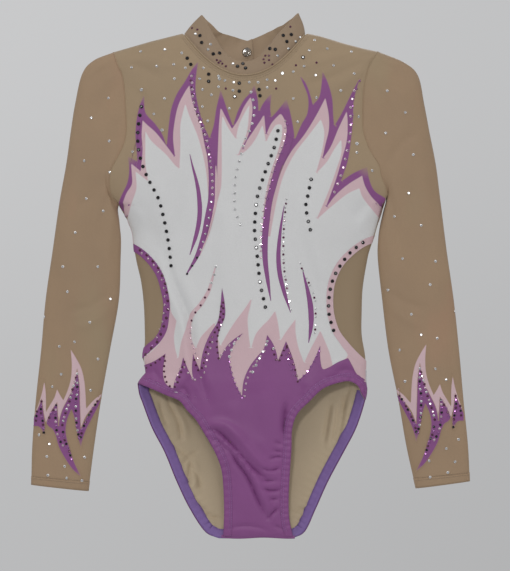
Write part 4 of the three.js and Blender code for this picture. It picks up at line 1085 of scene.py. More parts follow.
def bound_edge(name, face, line, width, side, level, gap=0.6):
    """A strip folded over an edge: its outer leaf lies on the cloth and its inner leaf behind."""
    across = square_to(line) * side
    rows = []
    for t in LEAF_STEPS:
        q = line + across * abs(t) * width
        base, normal = body_point(face, q[:, 0], q[:, 1])
        swell = 0.25 * math.sqrt(max(0.0, 1 - (2 * abs(t) - 1) ** 2))
        if t == 0:
            off = level - 1.2
        elif t > 0:
            off = level + 0.3 * (1 - math.exp(-t * 25)) - 0.42 * t * t
        else:
            off = level - 2.5 - gap * (1 - math.exp(t * 20)) - swell
        rows.append(base + normal * off)
    grid = np.stack(rows)
    n, m = grid.shape[:2]
    faces = [(i * m + j, i * m + j + 1, (i + 1) * m + j + 1, (i + 1) * m + j)
             for i in range(n - 1) for j in range(m - 1)]
    if side * face > 0:
        faces = [f[::-1] for f in faces]
    obj = make(name, grid.reshape(-1, 3), faces, sharp=0)
    solid = obj.modifiers.new("thick", "SOLIDIFY")
    solid.thickness = LEAF_THICKNESS * MM
    solid.offset = -1
    with bpy.context.temp_override(object=obj, active_object=obj):
        bpy.ops.object.modifier_apply(modifier="thick")
    inner_rows = LEAF_STEPS.index(0)
    for poly in obj.data.polygons:
        first = min(v % (n * m) for v in poly.vertices) // m
        poly.material_index = 1 if first < inner_rows else 0
    return obj


right_back_leg = np.vstack([RIGHT_EDGE[RIGHT_EDGE[:, 1] < -393.5][::2],
                            [(-36, -566.2), (-29, -566.4), (-20, -566.4)]])
left_back_leg = np.vstack([LEFT_EDGE[LEFT_EDGE[:, 1] < -400][::2],
                           [(46, -566.2), (40, -566.4), (32, -566.4)]])
LEG_LINES = [("right", "front", FRONT, RIGHT_LEG_LINE, 1), ("left", "front", FRONT, LEFT_LEG_LINE, -1),
             ("right", "back", BACK, right_back_leg, 1), ("left", "back", BACK, left_back_leg, -1)]
binding_pieces = [(side, face, bound_edge(f"binding_leg_{where}_{side}", face, line, BINDING, way,
                                          LAYER["brief"] + 0.1))
                  for side, where, face, line, way in LEG_LINES]
keyhole_binding = bound_edge("binding_keyhole", BACK, keyhole_loop, 5.0, -1, 0.1)


def tube(name, points, radius, sides=10, squash=1.0):
    """A round cord of cloth along points in mm."""
    p = np.asarray(points, float)
    along = np.gradient(p, axis=0)
    along /= np.linalg.norm(along, axis=1)[:, None]
    up = np.array([0, 1.0, 0])
    side_dir = np.cross(along, up)
    side_dir /= np.maximum(np.linalg.norm(side_dir, axis=1)[:, None], 1e-6)
    over = np.cross(side_dir, along)
    radius = np.broadcast_to(np.asarray(radius, float), (len(p),))
    ring = [p + (side_dir * math.cos(a) + over * math.sin(a) * squash) * radius[:, None]
            for a in np.linspace(0, 2 * math.pi, sides, endpoint=False)]
    grid = np.stack(ring, axis=1)
    n = len(p)
    faces = [(i * sides + j, i * sides + (j + 1) % sides, (i + 1) * sides + (j + 1) % sides,
              (i + 1) * sides + j) for i in range(n - 1) for j in range(sides)]
    faces += [tuple(range(sides))[::-1], tuple((n - 1) * sides + j for j in range(sides))]
    return make(name, grid.reshape(-1, 3), faces)


# ------------------------------------------------------------------ crotch fold
crotch_x = np.linspace(-33, 49, 60)
crotch_points = np.column_stack([crotch_x, np.zeros(60),
                                 CROTCH + 0.6 * np.sin(crotch_x / 9) - 0.2])
crotch_seam = tube("seam_crotch", crotch_points, 1.9, 12, 1.2)


# ------------------------------------------------------------------ collar
COLLAR_STEP = 1.5  # degrees
COLLAR_ROWS_UP = 16
TOP_DEPTH_FRONT, TOP_DEPTH_BACK = 14.0, 18.0


def collar_top(angle):
    """x and z of the collar's upper edge at an angle round the neck, 0 at the front."""
    table = COLLAR_TOP if abs(angle) <= 90 else BACK_COLLAR_TOP
    turn = angle if abs(angle) <= 90 else angle % 360
    at = [q[0] for q in table]
    return (np.interp(turn, at, [q[1] for q in table]), np.interp(turn, at, [q[2] for q in table]))


def collar_point(angle, height, out):
    """A place on the collar: height runs from 0 at the seam to 1 at the upper edge."""
    a = math.radians(angle)
    sin, cos = math.sin(a), math.cos(a)
    drop = NECK["front"] if cos > 0 else NECK["back"]
    base = np.array([NECK["x"] + (NECK["half"] - 1.2) * sin, -NECK["depth"] * cos,
                     NECK["z"] - drop * cos * cos + 0.6])
    top_x, top_z = 0.0, 0.0
    reach = 1.0 if cos > 0 else 0.35
    for step in (-6, -3, 0, 3, 6):
        near = angle + step * reach
        x, z = collar_top(near if abs(angle) <= 84 or 96 <= angle % 360 <= 264 else angle)
        top_x, top_z = top_x + x / 5, top_z + z / 5
    top = np.array([top_x, -(TOP_DEPTH_FRONT if cos > 0 else TOP_DEPTH_BACK) * cos, top_z])
    crease = 0.35 * math.sin(angle / 6.5 + 4 * height) + 0.25 * math.sin(angle / 2.9 - 2 * height)
    bow = 1.2 * math.sin(math.pi * height)
    mid = base + (top - base) * height
    return mid + np.array([sin, -cos, 0.0]) * (out + bow + crease * height)


def collar_band(name, start, stop, lift=0.0, thickness=0.9):
    """A closed band of collar between two angles, lifted outwards along its way."""
    columns = max(8, int(abs(stop - start) / COLLAR_STEP))
    rows = COLLAR_ROWS_UP
    outer, inner = [], []
    for i in range(columns + 1):
        u = i / columns
        angle = start + (stop - start) * u
        off = lift * min(1.0, 1.6 * u)
        for j in range(rows + 1):
            h = j / rows
            rim = 0.25 * math.exp(-(1 - h) * 14)
            outer.append(collar_point(angle, h, off + thickness + rim))
            inner.append(collar_point(angle, h, off - rim))
    tri = []
    for i in range(columns):
        for j in range(rows):
            a = i * (rows + 1) + j
            b, c, d = a + rows + 1, a + rows + 2, a + 1
            tri += [(a, b, c), (a, c, d)]
    outer, inner, tri = np.array(outer), np.array(inner), np.array(tri)
    obj = closed_skin(name, outer, inner, tri, (outer - inner)[tri[:, 0]])
    # the inner faces take the second material; for the collar that is the copy lightened with painted
    # light
    for poly in obj.data.polygons[len(tri):2 * len(tri)]:
        poly.material_index = 1
    return obj


TAB_ROOT = 128.0
TAB_LIFT = 4.6
OUTER_TAB_END, INNER_TAB_END = 186.0, 172.0
collar = collar_band("collar_stand", -TAB_ROOT, TAB_ROOT)
tab_left = collar_band("collar_tab_outer", TAB_ROOT, OUTER_TAB_END, TAB_LIFT)
tab_right = collar_band("collar_tab_inner", 360 - TAB_ROOT, INNER_TAB_END)

neck_seams = []
for seam_name, start, stop in (("front", -82, 82), ("back_left", 98, 124), ("back_right", 236, 262)):
    seam_points = []
    for angle in np.linspace(start, stop, max(8, int(abs(stop - start) / COLLAR_STEP))):
        q = collar_point(angle, 0.0, 0.5)
        face = FRONT if seam_name == "front" else BACK
        base, _ = body_point(face, np.array([q[0]]), np.array([min(q[2], -2.2)]))
        away = max(abs(base[0, 1]) + 0.6, abs(q[1]) + 0.4)
        seam_points.append((q[0], face * away, q[2] - 0.6))
    neck_seams.append(tube("seam_neck_" + seam_name, seam_points, 0.9, 10))


# ------------------------------------------------------------------ sleeves
SLEEVE_ROUNDING = 2 / 2.6
BOW_FADE, JOIN_FADE = 2.6, 0.9  # in stations down from the armhole


def sleeve(side):
    """The sleeve as a grid of rows down the arm and points round it."""
    right = side == "right"
    stations = RIGHT_SLEEVE if right else LEFT_SLEEVE
    armhole = outline(RIGHT_ARMHOLE if right else LEFT_ARMHOLE, step=1.0, closed=False)
    folds = FOLDS_SLEEVE_RIGHT if right else FOLDS_SLEEVE_LEFT
    table = np.array([(*o, *i, d) for o, i, d in stations], float)
    n = len(table)
    t = []
    for s in range(n - 1):
        length = np.hypot(*(table[s + 1, :2] - table[s, :2]))
        rows = max(8, int(length / 2.4))
        t += [s + k / rows for k in range(rows)]
    t = np.array(t + [n - 1.0])
    columns = []
    for k in range(5):
        y = table[:, k]
        m = np.gradient(y)
        i = np.minimum(t.astype(int), n - 2)
        f = t - i
        columns.append((2 * f**3 - 3 * f**2 + 1) * y[i] + (f**3 - 2 * f**2 + f) * m[i]
                       + (3 * f**2 - 2 * f**3) * y[i + 1] + (f**3 - f**2) * m[i + 1])
    ox, oz, ix, iz, depth = columns
    angle = np.arange(SLEEVE_ROUND) / SLEEVE_ROUND * 2 * math.pi
    cos = np.sign(np.cos(angle)) * np.abs(np.cos(angle)) ** SLEEVE_ROUNDING
    sin = np.sign(np.sin(angle)) * np.abs(np.sin(angle)) ** SLEEVE_ROUNDING
    f = (1 - cos) / 2
    run = length_along(armhole)
    hole_x = np.interp(f, run / run[-1], armhole[:, 0])
    hole_z = np.interp(f, run / run[-1], armhole[:, 1])
    bow_x = hole_x - (armhole[0, 0] + (armhole[-1, 0] - armhole[0, 0]) * f)
    bow_z = hole_z - (armhole[0, 1] + (armhole[-1, 1] - armhole[0, 1]) * f)
    hole_depth = plain_depth(hole_x, hole_z)
    fading = np.exp(-((t / BOW_FADE) ** 2))[:, None]
    x = ox[:, None] + (ix - ox)[:, None] * f + bow_x * fading
    z = oz[:, None] + (iz - oz)[:, None] * f + bow_z * fading
    own = depth[:, None] * np.abs(sin)
    join = np.exp(-((t / JOIN_FADE) ** 2))[:, None]
    y = own * (1 - join) + hole_depth * join
    y = -np.sign(sin) * y
    flat = np.column_stack([x.ravel(), z.ravel()])
    h = relief(flat, folds).reshape(x.shape)
    h += 0.35 * np.sin(x / 9 + z / 47) * np.sin(z / 29 + x / 60)
    calm = np.minimum(1, t / 0.5)[:, None] * np.abs(sin) ** 0.8
    back_wave = 0.8 * np.sin(x / 11 + 1.3) * np.sin(z / 53)
    y += -np.sign(sin) * calm * np.where(sin > 0, h, 0.5 * h + back_wave)
    return t, np.stack([x, y, z], axis=2)


def grid_faces(rows, around, flip):
    """Faces of a tube given as rows of points."""
    faces = []
    for i in range(rows - 1):
        for j in range(around):
            k = (j + 1) % around
            faces.append((i * around + j, i * around + k, (i + 1) * around + k,
                          (i + 1) * around + j))
    return [f[::-1] for f in faces] if flip else faces


SHOULDER_NORMAL = {"right": (-0.817, -0.576), "left": (0.817, -0.576)}
UNDERARM = {"right": (-148, -197), "left": (148, -197)}
SHOULDER_BLEND = 45
ELBOW_TOP, ELBOW_BOTTOM = -290, -342
ARM_X = {"right": -189, "left": 188}
SPLIT_Z = -262
sleeve_parts = {}
for side in ("right", "left"):
    sign = -1 if side == "right" else 1
    t, grid = sleeve(side)
    middle_z = grid[:, :, 2].mean(1)
    cut = int(np.argmax(middle_z < SPLIT_Z))
    flip = side == "left"
    upper = make(f"sleeve_{side}_upper", grid[:cut + 1].reshape(-1, 3),
                 grid_faces(cut + 1, SLEEVE_ROUND, flip), sharp=0)
    lower = make(f"sleeve_{side}_lower", grid[cut:].reshape(-1, 3),
                 grid_faces(len(grid) - cut, SLEEVE_ROUND, flip), sharp=0)
    ux, uz = UNDERARM[side]
    nx, nz = SHOULDER_NORMAL[side]
    shoulder_blend = ("torso", f"{side}_sleeve", (ux * MM, 0, uz * MM),
                      ((ux + nx * SHOULDER_BLEND) * MM, 0, (uz + nz * SHOULDER_BLEND) * MM))
    lean = sign * 0.119 * (ELBOW_TOP - ELBOW_BOTTOM)
    elbow_blend = (f"{side}_sleeve", f"{side}_forearm", (ARM_X[side] * MM, 0, ELBOW_TOP * MM),
                   ((ARM_X[side] + lean) * MM, 0, ELBOW_BOTTOM * MM))
    sleeve_parts[side] = {"upper": upper, "lower": lower, "grid": grid, "cut": cut, "t": t,
                          "shoulder": shoulder_blend, "elbow": elbow_blend}


def tree_of(objects):
    """A search tree in mm over some pieces as they are."""
    verts, faces, start = [], [], 0
    for obj in objects:
        verts += [v.co / MM for v in obj.data.vertices]
        faces += [tuple(v + start for v in p.vertices) for p in obj.data.polygons]
        start = len(verts)
    return BVHTree.FromPolygons(verts, faces)


def drop_on(tree, x, z, face=FRONT):
    """The point and outward normal of the surface seen at x, z from the front or back."""
    origin, way = Vector((x, face * 200.0, z)), Vector((0, -face, 0))
    hit, normal, _, _ = tree.ray_cast(origin, way)
    if hit is None:
        hit, normal, _, _ = tree.find_nearest(Vector((x, face * 12.0, z)))
    if normal.y * face < 0:
        normal = -normal
    return hit, normal


def same(u, v):
    """The chart of a piece that is already flat."""
    return u, v


def sleeve_patch(name, side, tables, level, thickness=0.12, soft=0.8, tips=()):
    """A flame that lies on the front of a sleeve."""
    tree = tree_of([sleeve_parts[side]["lower"]])
    loops = [outline(for_side(side, table), step=1.2) for table in tables]
    points = np.vstack(loops)
    box = (tuple(points.min(0)), tuple(points.max(0)))
    xz, tri = triangulate(loops, same, same, (1.6, 1.9), box, soft)
    hits = [drop_on(tree, x, z) for x, z in xz]
    base = np.array([tuple(h) for h, _ in hits])
    normal = np.array([tuple(n) for _, n in hits])
    obj = closed_skin(name, base + normal * level, base + normal * (level - thickness), tri,
                      np.array([0, FRONT, 0]))
    fade = np.clip(edge_distance(xz, loops) / soft, 0, 1)
    for tip in for_side(side, tips):
        fade = np.minimum(fade, np.clip(np.hypot(*(xz - tip).T) / 12, 0, 1) * 0.85 + 0.15)
    set_fade(obj, np.concatenate([fade, fade]))
    return obj


PURPLE_CUFF_TIPS = [(-188.4, -498.7), (-189.9, -465.5), (-231.5, -451.8)]
cuffs = {}
for side in ("right", "left"):
    cuffs[side, "pink"] = sleeve_patch(f"cuff_{side}_pink", side, [CUFF_PINK], 0.35)
    cuffs[side, "purple"] = sleeve_patch(f"cuff_{side}_purple", side,
                                         [CUFF_PURPLE_OUTER, CUFF_PURPLE_INNER], 0.55,
                                         tips=PURPLE_CUFF_TIPS)


def cuff_hem(side, height=12.0, off=0.35):
    """The turned hem at a wrist: a second layer round the last rows."""
    grid = sleeve_parts[side]["grid"]
    end = grid[-1]
    rows = [r for r in grid if abs(r[:, 2].mean() - end[:, 2].mean()) <= height]
    ring = np.stack(rows)
    centre = ring.mean(axis=1, keepdims=True)
    outer = ring + (ring - centre) / np.linalg.norm(ring - centre, axis=2, keepdims=True) * off
    inner = ring - (ring - centre) / np.linalg.norm(ring - centre, axis=2, keepdims=True) * off
    loop = np.concatenate([outer, inner[::-1], outer[:1]])
    count, around = len(loop) - 1, ring.shape[1]
    faces = [tuple(v % (count * around) for v in f)
             for f in grid_faces(len(loop), around, side == "left")]
    return make(f"cuff_{side}_hem", loop[:-1].reshape(-1, 3), faces, sharp=0)


hems = {side: cuff_hem(side) for side in ("right", "left")}


# ------------------------------------------------------------------ seams and stitching
LONGEST_STITCH = 2.5  # in its own lengths: one that spans a gap is left out


def stitches(name, tree, lines, length=2.0, pitch=3.0, width=0.28, face=FRONT, lift=0.12):
    """Rows of small thread stitches laid on a surface."""
    verts, faces = [], []
    for line in lines:
        line = np.asarray(line, float)
        run = length_along(line)
        for at in np.arange(pitch / 2, run[-1] - length, pitch):
            ends = [np.array([np.interp(a, run, line[:, 0]), np.interp(a, run, line[:, 1])])
                    for a in (at, at + length / 2, at + length)]
            spots = [drop_on(tree, *e, face) for e in ends]
            if (spots[0][0] - spots[2][0]).length > LONGEST_STITCH * length:
                continue
            along = (spots[2][0] - spots[0][0]).normalized()
            start = len(verts)
            for (hit, normal), rise in zip(spots, (0.0, lift, 0.0)):
                side_way = normal.cross(along).normalized() * width
                middle = hit + normal * (rise + 0.05)
                verts += [middle - side_way, middle + normal * width, middle + side_way,
                          middle - normal * width]
            for i in range(2):
                a = start + 4 * i
                faces += [(a + j, a + (j + 1) % 4, a + 4 + (j + 1) % 4, a + 4 + j)
                          for j in range(4)]
            faces += [(start + 3, start + 2, start + 1, start),
                      (start + 8, start + 9, start + 10, start + 11)]
    return make(name, [tuple(v) for v in verts], faces, sharp=0)


def beside(line, inset, side):
    """A line moved sideways."""
    p = np.asarray(line, float)
    return p + square_to(p) * side * inset


front_bindings = [b for _, face, b in binding_pieces if face == FRONT]
back_bindings = [b for _, face, b in binding_pieces if face == BACK]
front_tree = tree_of([front_body, flame_purple, flame_pink, flame_white, waist_pink, brief_front,
                      trim_right, trim_left, collar, *front_bindings, *[b for _, b in blades]])
back_tree = tree_of([back_body, brief_back, keyhole_binding, *back_bindings])


def leg_rows(on_face):
    """Two stitch rows beside each leg line of the front or back."""
    return [beside(line, inset, way)[2:-4] for _, _, face, line, way in LEG_LINES if face == on_face
            for inset in (6.0, 8.4)]


leg_stitches = stitches("stitches_leg_front", front_tree, leg_rows(FRONT), 1.9, 2.7)
leg_stitches_back = stitches("stitches_leg_back", back_tree, leg_rows(BACK), 1.9, 2.7, face=BACK)
neck_rows = [neck_line(FRONT, grow)[4:-4] for grow in (2.6, 4.4)]
neck_stitches = stitches("stitches_neck_front", front_tree, neck_rows, 1.8, 2.6, 0.2)
neck_rows_back = [neck_line(BACK, grow)[8:-8] for grow in (2.6, 4.4)]
neck_stitches_back = stitches("stitches_neck_back", back_tree,
                              [r[r[:, 0] < -10] for r in neck_rows_back]
                              + [r[r[:, 0] > 2] for r in neck_rows_back],
                              1.8, 2.6, 0.2, face=BACK)
armhole_seams = {}
for side, table in (("right", RIGHT_ARMHOLE), ("left", LEFT_ARMHOLE)):
    line = outline(table, step=2.0, closed=False)
    depth = plain_depth(line[:, 0], line[:, 1])
    loop = np.vstack([np.column_stack([line[:, 0], -depth - 0.1, line[:, 1]]),
                      np.column_stack([line[::-1, 0], depth[::-1] + 0.1, line[::-1, 1]])])
    armhole_seams[side] = tube(f"seam_armhole_{side}", loop, 0.55, 8)
cuff_rows = {}
for side in ("right", "left"):
    grid = sleeve_parts[side]["grid"]
    end = grid[-1]
    rows = []
    for inset in (10.0, 12.2):
        k = int(np.argmax(grid[:, :, 2].mean(1) < end[:, 2].mean() + inset))
        ring = grid[k]
        front = ring[ring[:, 1] < -2]
        rows.append(front[np.argsort(front[:, 0])][:, [0, 2]])
    cuff_rows[side] = stitches(f"stitches_cuff_{side}", tree_of([sleeve_parts[side]["lower"],
                                                                hems[side]]), rows, 1.8, 2.6, 0.22)

# ------------------------------------------------------------------ rhinestones
ROWS = {  # stone rows: (colour, size, pitch, line)
    "torso": [
        ("dark", "big", 9.6, [(-122, -84), (-125, -103), (-126, -113), (-125, -132), (-120, -151),
                              (-112, -169), (-103, -186), (-98, -204), (-94, -223), (-91, -242),
                              (-89, -261)]),
        ("dark", "big", 9.6, [(30, -111), (26, -129), (19, -148), (13, -165), (7, -185), (5, -203),
                              (4, -222), (6, -241), (8, -260), (10, -279), (14, -298), (16, -307)]),
        ("dark", "big", 9.6, [(67, -165), (63, -184), (61, -193), (62, -203), (66, -221)]),
        ("dark", "big", 9.6, [(125, -235), (112, -245), (100, -260), (91, -277), (87, -296),
                              (87, -315), (92, -333)]),
        ("clear", "middle", 9.0, [(0, -68), (4, -86), (1, -104), (-7, -122), (-12, -142),
                                  (-17, -161), (-18, -179), (-18, -197), (-12, -215)]),
        ("rose", "middle", 9.6, [(115, -66), (111, -84), (111, -104), (109, -123), (105, -142),
                                 (100, -161), (93, -179)]),
        ("violet", "small", 9.6, [(121, -55), (114, -75), (113, -94), (111, -113), (108, -132),
                                  (103, -152), (97, -170)]),
        ("wine", "small", 7.6, [(-67, -55), (-65, -70), (-60, -92), (-53, -113), (-48, -134),
                                (-45, -152)]),
        ("violet", "small", 7.6, [(-64, -48), (-64, -64), (-60, -84), (-53, -105), (-47, -126),
                                  (-44, -148)]),
        ("rose", "middle", 7.6, [(-66, -50), (-64, -78), (-56, -102), (-49, -122), (-46, -142),
                                 (-43, -162), (-43, -182)]),
        ("clear", "small", 8.6, [(-44, -190), (-47, -209), (-51, -227), (-56, -243)]),
        ("dark", "small", 8.6, [(-60, -252), (-66, -262), (-71, -270)]),
        ("clear", "middle", 8.8, [(-39, -262), (-40.8, -271), (-44, -280)]),
        ("wine", "small", 9.0, [(-46.8, -287.5), (-51, -296), (-55.7, -304.6), (-61.6, -312.6),
                                (-66, -322)]),
        ("rose", "small", 6.0, [(-67, -330), (-67.5, -342), (-64, -352), (-60, -364)]),
        ("clear", "small", 9.2, [(39.5, -187), (37, -210), (36, -234), (36.5, -256), (39, -282),
                                 (44.5, -310)]),
        ("wine", "small", 9.2, [(39, -192), (37, -214), (36, -238), (36.5, -260), (40, -286)]),
        ("clear", "small", 9.0, [(55, -258), (59.5, -270), (66, -284), (71, -297), (72, -309),
                                 (72, -322), (71, -336)]),
        ("wine", "small", 18.0, [(56.5, -264), (63, -277), (70, -294), (72, -314), (71.5, -332)]),
        ("rose", "small", 7.4, [(38, -100), (37, -120), (30, -140), (23, -160), (17, -182),
                                (13, -205), (11, -232), (11, -252)]),
        ("violet", "small", 10.8, [(40, -104), (38, -124), (31, -144), (24, -166), (18, -190),
                                   (14, -212), (12, -240)]),
        ("wine", "middle", 9.6, [(-124, -243.5), (-115, -250), (-103, -264), (-98, -274),
                                 (-95, -283), (-93, -297), (-93, -313), (-97.5, -329),
                                 (-106, -348), (-113, -354.5), (-118, -360)]),
        ("violet", "small", 9.6, [(-120, -245), (-109, -255), (-101.5, -266), (-97, -277),
                                  (-95, -288), (-94.5, -306), (-97, -321), (-102, -338),
                                  (-110, -350)]),
        ("rose", "small", 9.6, [(-122, -247), (-111, -257), (-103.5, -268), (-98.5, -279),
                                (-96.5, -290), (-96.5, -308), (-99, -324), (-105, -341)]),
        ("wine", "small", 6.2, [(-117, -375), (-105, -368), (-96, -362), (-97, -378), (-92, -394),
                                (-85, -396), (-78, -380), (-74, -368)]),
        ("rose", "small", 7.2, [(-84, -390), (-76, -372), (-72, -378), (-65, -386)]),
        ("wine", "small", 6.0, [(-63, -366), (-58, -378), (-54, -374), (-50, -356), (-44, -342),
                                (-36, -326), (-33, -306)]),
        ("rose", "small", 6.6, [(-62, -388), (-54, -384), (-48, -362), (-43, -346)]),
        ("wine", "small", 6.4, [(-31, -302), (-31, -320), (-36, -334), (-38, -348), (-36, -364)]),
        ("clear", "middle", 6.8, [(-14, -342), (-20, -350), (-24, -362)]),
        ("rose", "small", 6.2, [(-33, -360), (-27, -352), (-18, -346)]),
        ("violet", "small", 6.4, [(-24, -368), (-21, -382), (-16, -396), (-10, -408)]),
        ("rose", "small", 6.8, [(-7, -406), (-5, -390), (1, -376), (9, -364), (15, -356)]),
        ("clear", "middle", 9.0, [(2, -379), (10, -363), (17, -349)]),
        ("clear", "middle", 8.5, [(18, -345), (25, -353)]),
        ("wine", "small", 6.0, [(24, -354), (30, -368), (36, -356), (40, -350)]),
        ("wine", "small", 6.4, [(40, -352), (45, -364), (49, -376), (52, -390)]),
        ("violet", "small", 6.4, [(37, -354), (42, -366), (47, -382)]),
        ("violet", "small", 6.4, [(54, -388), (62, -380), (70, -368), (76, -356)]),
    ],
}
CUFF_ROWS = [  # rows of stones on a cuff's purple: (colours in turn, pitch, line)
    (("wine", "violet", "dark"), 4.4,
     [(-234.1, -412.4), (-234.7, -423.8), (-232.6, -435.2), (-231.5, -447.2)]),
    (("wine", "dark"), 4.8, [(-239.3, -423.8), (-240.4, -434.1)]),
    (("violet", "wine"), 4.6,
     [(-226.7, -435.2), (-223.8, -426.7), (-218.1, -418.1)]),
    (("dark", "rose", "violet"), 4.6,
     [(-217.6, -417), (-218.5, -427.8), (-217.8, -437),
      (-216.6, -446.7), (-214.1, -454.7), (-210.1, -461.5)]),
    (("clear", "wine", "rose"), 4.6,
     [(-194, -381.5), (-198.1, -395.2), (-202.7, -412.4), (-208.4, -429.5), (-210.7, -438.7)]),
    (("dark", "violet", "wine"), 4.6,
     [(-209.8, -446.7), (-208.1, -455.2), (-204.4, -463.8), (-200.4, -477)]),
    (("violet", "clear", "dark"), 4.6,
     [(-194, -387.2), (-194.1, -402.1), (-195.5, -412.4), (-195.3, -428.4), (-194.7, -437.5),
      (-193.5, -445.5), (-191.8, -453.5)]),
    (("wine", "dark", "violet"), 4.6,
     [(-171.8, -412.4), (-178.1, -422.7), (-185.5, -437), (-188.4, -445), (-190.3, -452.4)]),
]
SPOTS = {  # single stones: (colour, size, places)
    "torso": [
        ("dark", "big", [(-71, -30), (-67, -37), (-47, -48), (-47, -56), (-13, -58), (-13, -67),
                         (-18, -73), (9, -65), (10, -72), (58, -29), (-57, -4), (-55, -12),
                         (-42, -25), (-35, -24), (-15, -39), (-9, -36), (-6, -41), (21, -19),
                         (27, -20), (36, -4), (45, -3), (40, -11)]),
        ("wine", "small", [(-38, -32), (-34, -33), (-32, -36), (-28, -39), (-36, -35), (16, -27),
                           (20, -27), (14, -31), (20, -32), (24, -37), (15, -35), (-60, 3),
                           (-66, 5), (44, 6), (73, -35), (50, -38), (-28, -64), (28, -64)]),
        ("clear", "middle", [
            (-123, -22), (-96, -20), (-77, -24), (-105, -39), (-86, -37), (-73, -41), (-85, -53),
            (-122, -65), (-96, -75), (-99, -110), (-54, -84), (-48, -100), (-24, -86), (-57, -53),
            (-53, -41), (-54, -65), (-44, -71), (-36, -50), (-29, -55), (-36, -62), (-19, -57),
            (-20, -66), (-2, -57), (8, -57), (18, -54), (27, -55), (18, -63), (35, -47), (47, -45),
            (59, -39), (65, -21), (85, -19), (71, -9), (112, -22), (92, -38), (72, -49),
            (115, -47), (100, -66), (73, -74), (47, -75), (52, -101), (-133, -40), (-132, -134),
            (120, -95), (118, -135), (135, -155), (-108, -92), (-64, -16), (-48, -20), (-45, -14),
            (-20, -36), (30, -27), (42, -19), (50, -11), (55, -6), (-62, -2)]),
        ("clear", "big", [(-35, -53), (35, -47), (-99, -110), (118, -125), (-122, -65)]),
    ],
    "right_sleeve": [
        ("clear", "middle", [(-159, -74), (-158, -122), (-186, -144), (-196, -224), (-171, -262),
                             (-150, -158), (-178, -96), (-184, -186), (-165, -200), (-210, -262)]),
    ],
    "left_sleeve": [
        ("clear", "middle", [(152, -66), (150, -113), (181, -137), (190, -216), (169, -253),
                             (172, -90), (176, -180), (160, -206), (206, -256)]),
    ],
    "right_forearm": [
        ("clear", "middle", [(-205, -290), (-157, -298), (-180, -324), (-214, -351), (-171, -365),
                             (-222, -396), (-179, -400), (-237, -450), (-186, -475), (-227, -495),
                             (-189, -501), (-208, -485), (-225, -460), (-231, -318),
                             (-197, -346), (-212, -382), (-228, -474), (-206, -498)]),
    ],
    "left_forearm": [
        ("clear", "middle", [(200, -282), (153, -288), (179, -315), (208, -342), (166, -355),
                             (218, -388), (172, -390), (218, -465), (199, -479), (220, -492),
                             (228, -312), (190, -338), (206, -376), (228, -480), (232, -455),
                             (200, -497)]),
    ],
}


STONE_SIDES = 8
STONE_RINGS = [(0.52, 0.62, 0), (0.82, 0.42, 0.5), (1.0, 0.18, 0), (0.96, 0.0, 0)]  # wide, high, turn
STONE_TILT = 0.16
STONE_SINK = 0.05
STONE_SEED = 11


def stone(radius, turn):
    """A flat-backed cut stone: table, crown and girdle, as points and faces."""
    n = STONE_SIDES
    verts = []
    for wide, high, shift in STONE_RINGS:
        for i in range(n):
            a = 2 * math.pi * (i + shift) / n + turn
            verts.append((wide * radius * math.cos(a), wide * radius * math.sin(a), high * radius))
    faces = [tuple(range(n))]
    for i in range(n):
        j = (i + 1) % n
        h = (i - 1) % n
        faces += [(i, n + i, j), (n + h, n + i, i), (n + h, 2 * n + i, n + i),
                  (n + i, 2 * n + i, 2 * n + j), (2 * n + i, 3 * n + i, 3 * n + j, 2 * n + j)]
    faces.append(tuple(3 * n + i for i in range(n))[::-1])
    return verts, faces


def set_stones(name, tree, places, seed):
    """Stones at (x, z, radius), seated on the surface."""
    rng = random.Random(seed)
    verts, faces = [], []
    for x, z, radius in places:
        hit, normal = drop_on(tree, x, z)
        tilt = Vector((rng.uniform(-1, 1), 0, rng.uniform(-1, 1))) * STONE_TILT
        up = (normal + tilt).normalized()
        side_way = up.orthogonal().normalized()
        other = up.cross(side_way)
        v, f = stone(radius, rng.uniform(0, math.pi))
        start = len(verts)
        verts += [tuple(hit + side_way * a + other * b + up * (c - STONE_SINK)) for a, b, c in v]
        faces += [tuple(i + start for i in face) for face in f]
    obj = make(name, verts, faces, sharp=0)
    obj.data.shade_flat()
    return obj


def row_places(line, pitch, radius):
    """Stone places spread evenly along a line."""
    p = spline(line, STRIP_STEP)
    run = length_along(p)
    count = int(round(run[-1] / pitch))
    at = np.linspace(0, run[-1], count + 1)
    return [(float(np.interp(a, run, p[:, 0])), float(np.interp(a, run, p[:, 1])), radius)
            for a in at]


def stones_on(part, tree):
    """All stones of one part, one object for each colour."""
    found = {}
    for colour, size, pitch, line in ROWS.get(part, []):
        found.setdefault(colour, []).extend(row_places(line, pitch, STONE[size]))
    for colour, size, spots in SPOTS.get(part, []):
        found.setdefault(colour, []).extend((x, z, STONE[size]) for x, z in spots)
    if part.endswith("forearm"):
        for colours, pitch, line in CUFF_ROWS:
            line = for_side(part.split("_")[0], line)
            for k, place in enumerate(row_places(line, pitch, STONE["small"] + CUFF_STONE_EXTRA)):
                found.setdefault(colours[k % len(colours)], []).append(place)
    out = []
    for number, (colour, places) in enumerate(sorted(found.items())):
        out.append((colour, set_stones(f"stones_{part}_{colour}", tree, places,
                                       STONE_SEED + number)))
    return out


torso_stones = stones_on("torso", front_tree)
sleeve_stones = {}
for side in ("right", "left"):
    parts = sleeve_parts[side]
    upper_tree = tree_of([parts["upper"], parts["lower"]])
    lower_tree = tree_of([parts["lower"], parts["upper"], cuffs[side, "pink"],
                          cuffs[side, "purple"], hems[side]])
    sleeve_stones[side] = (stones_on(f"{side}_sleeve", upper_tree),
                           stones_on(f"{side}_forearm", lower_tree))
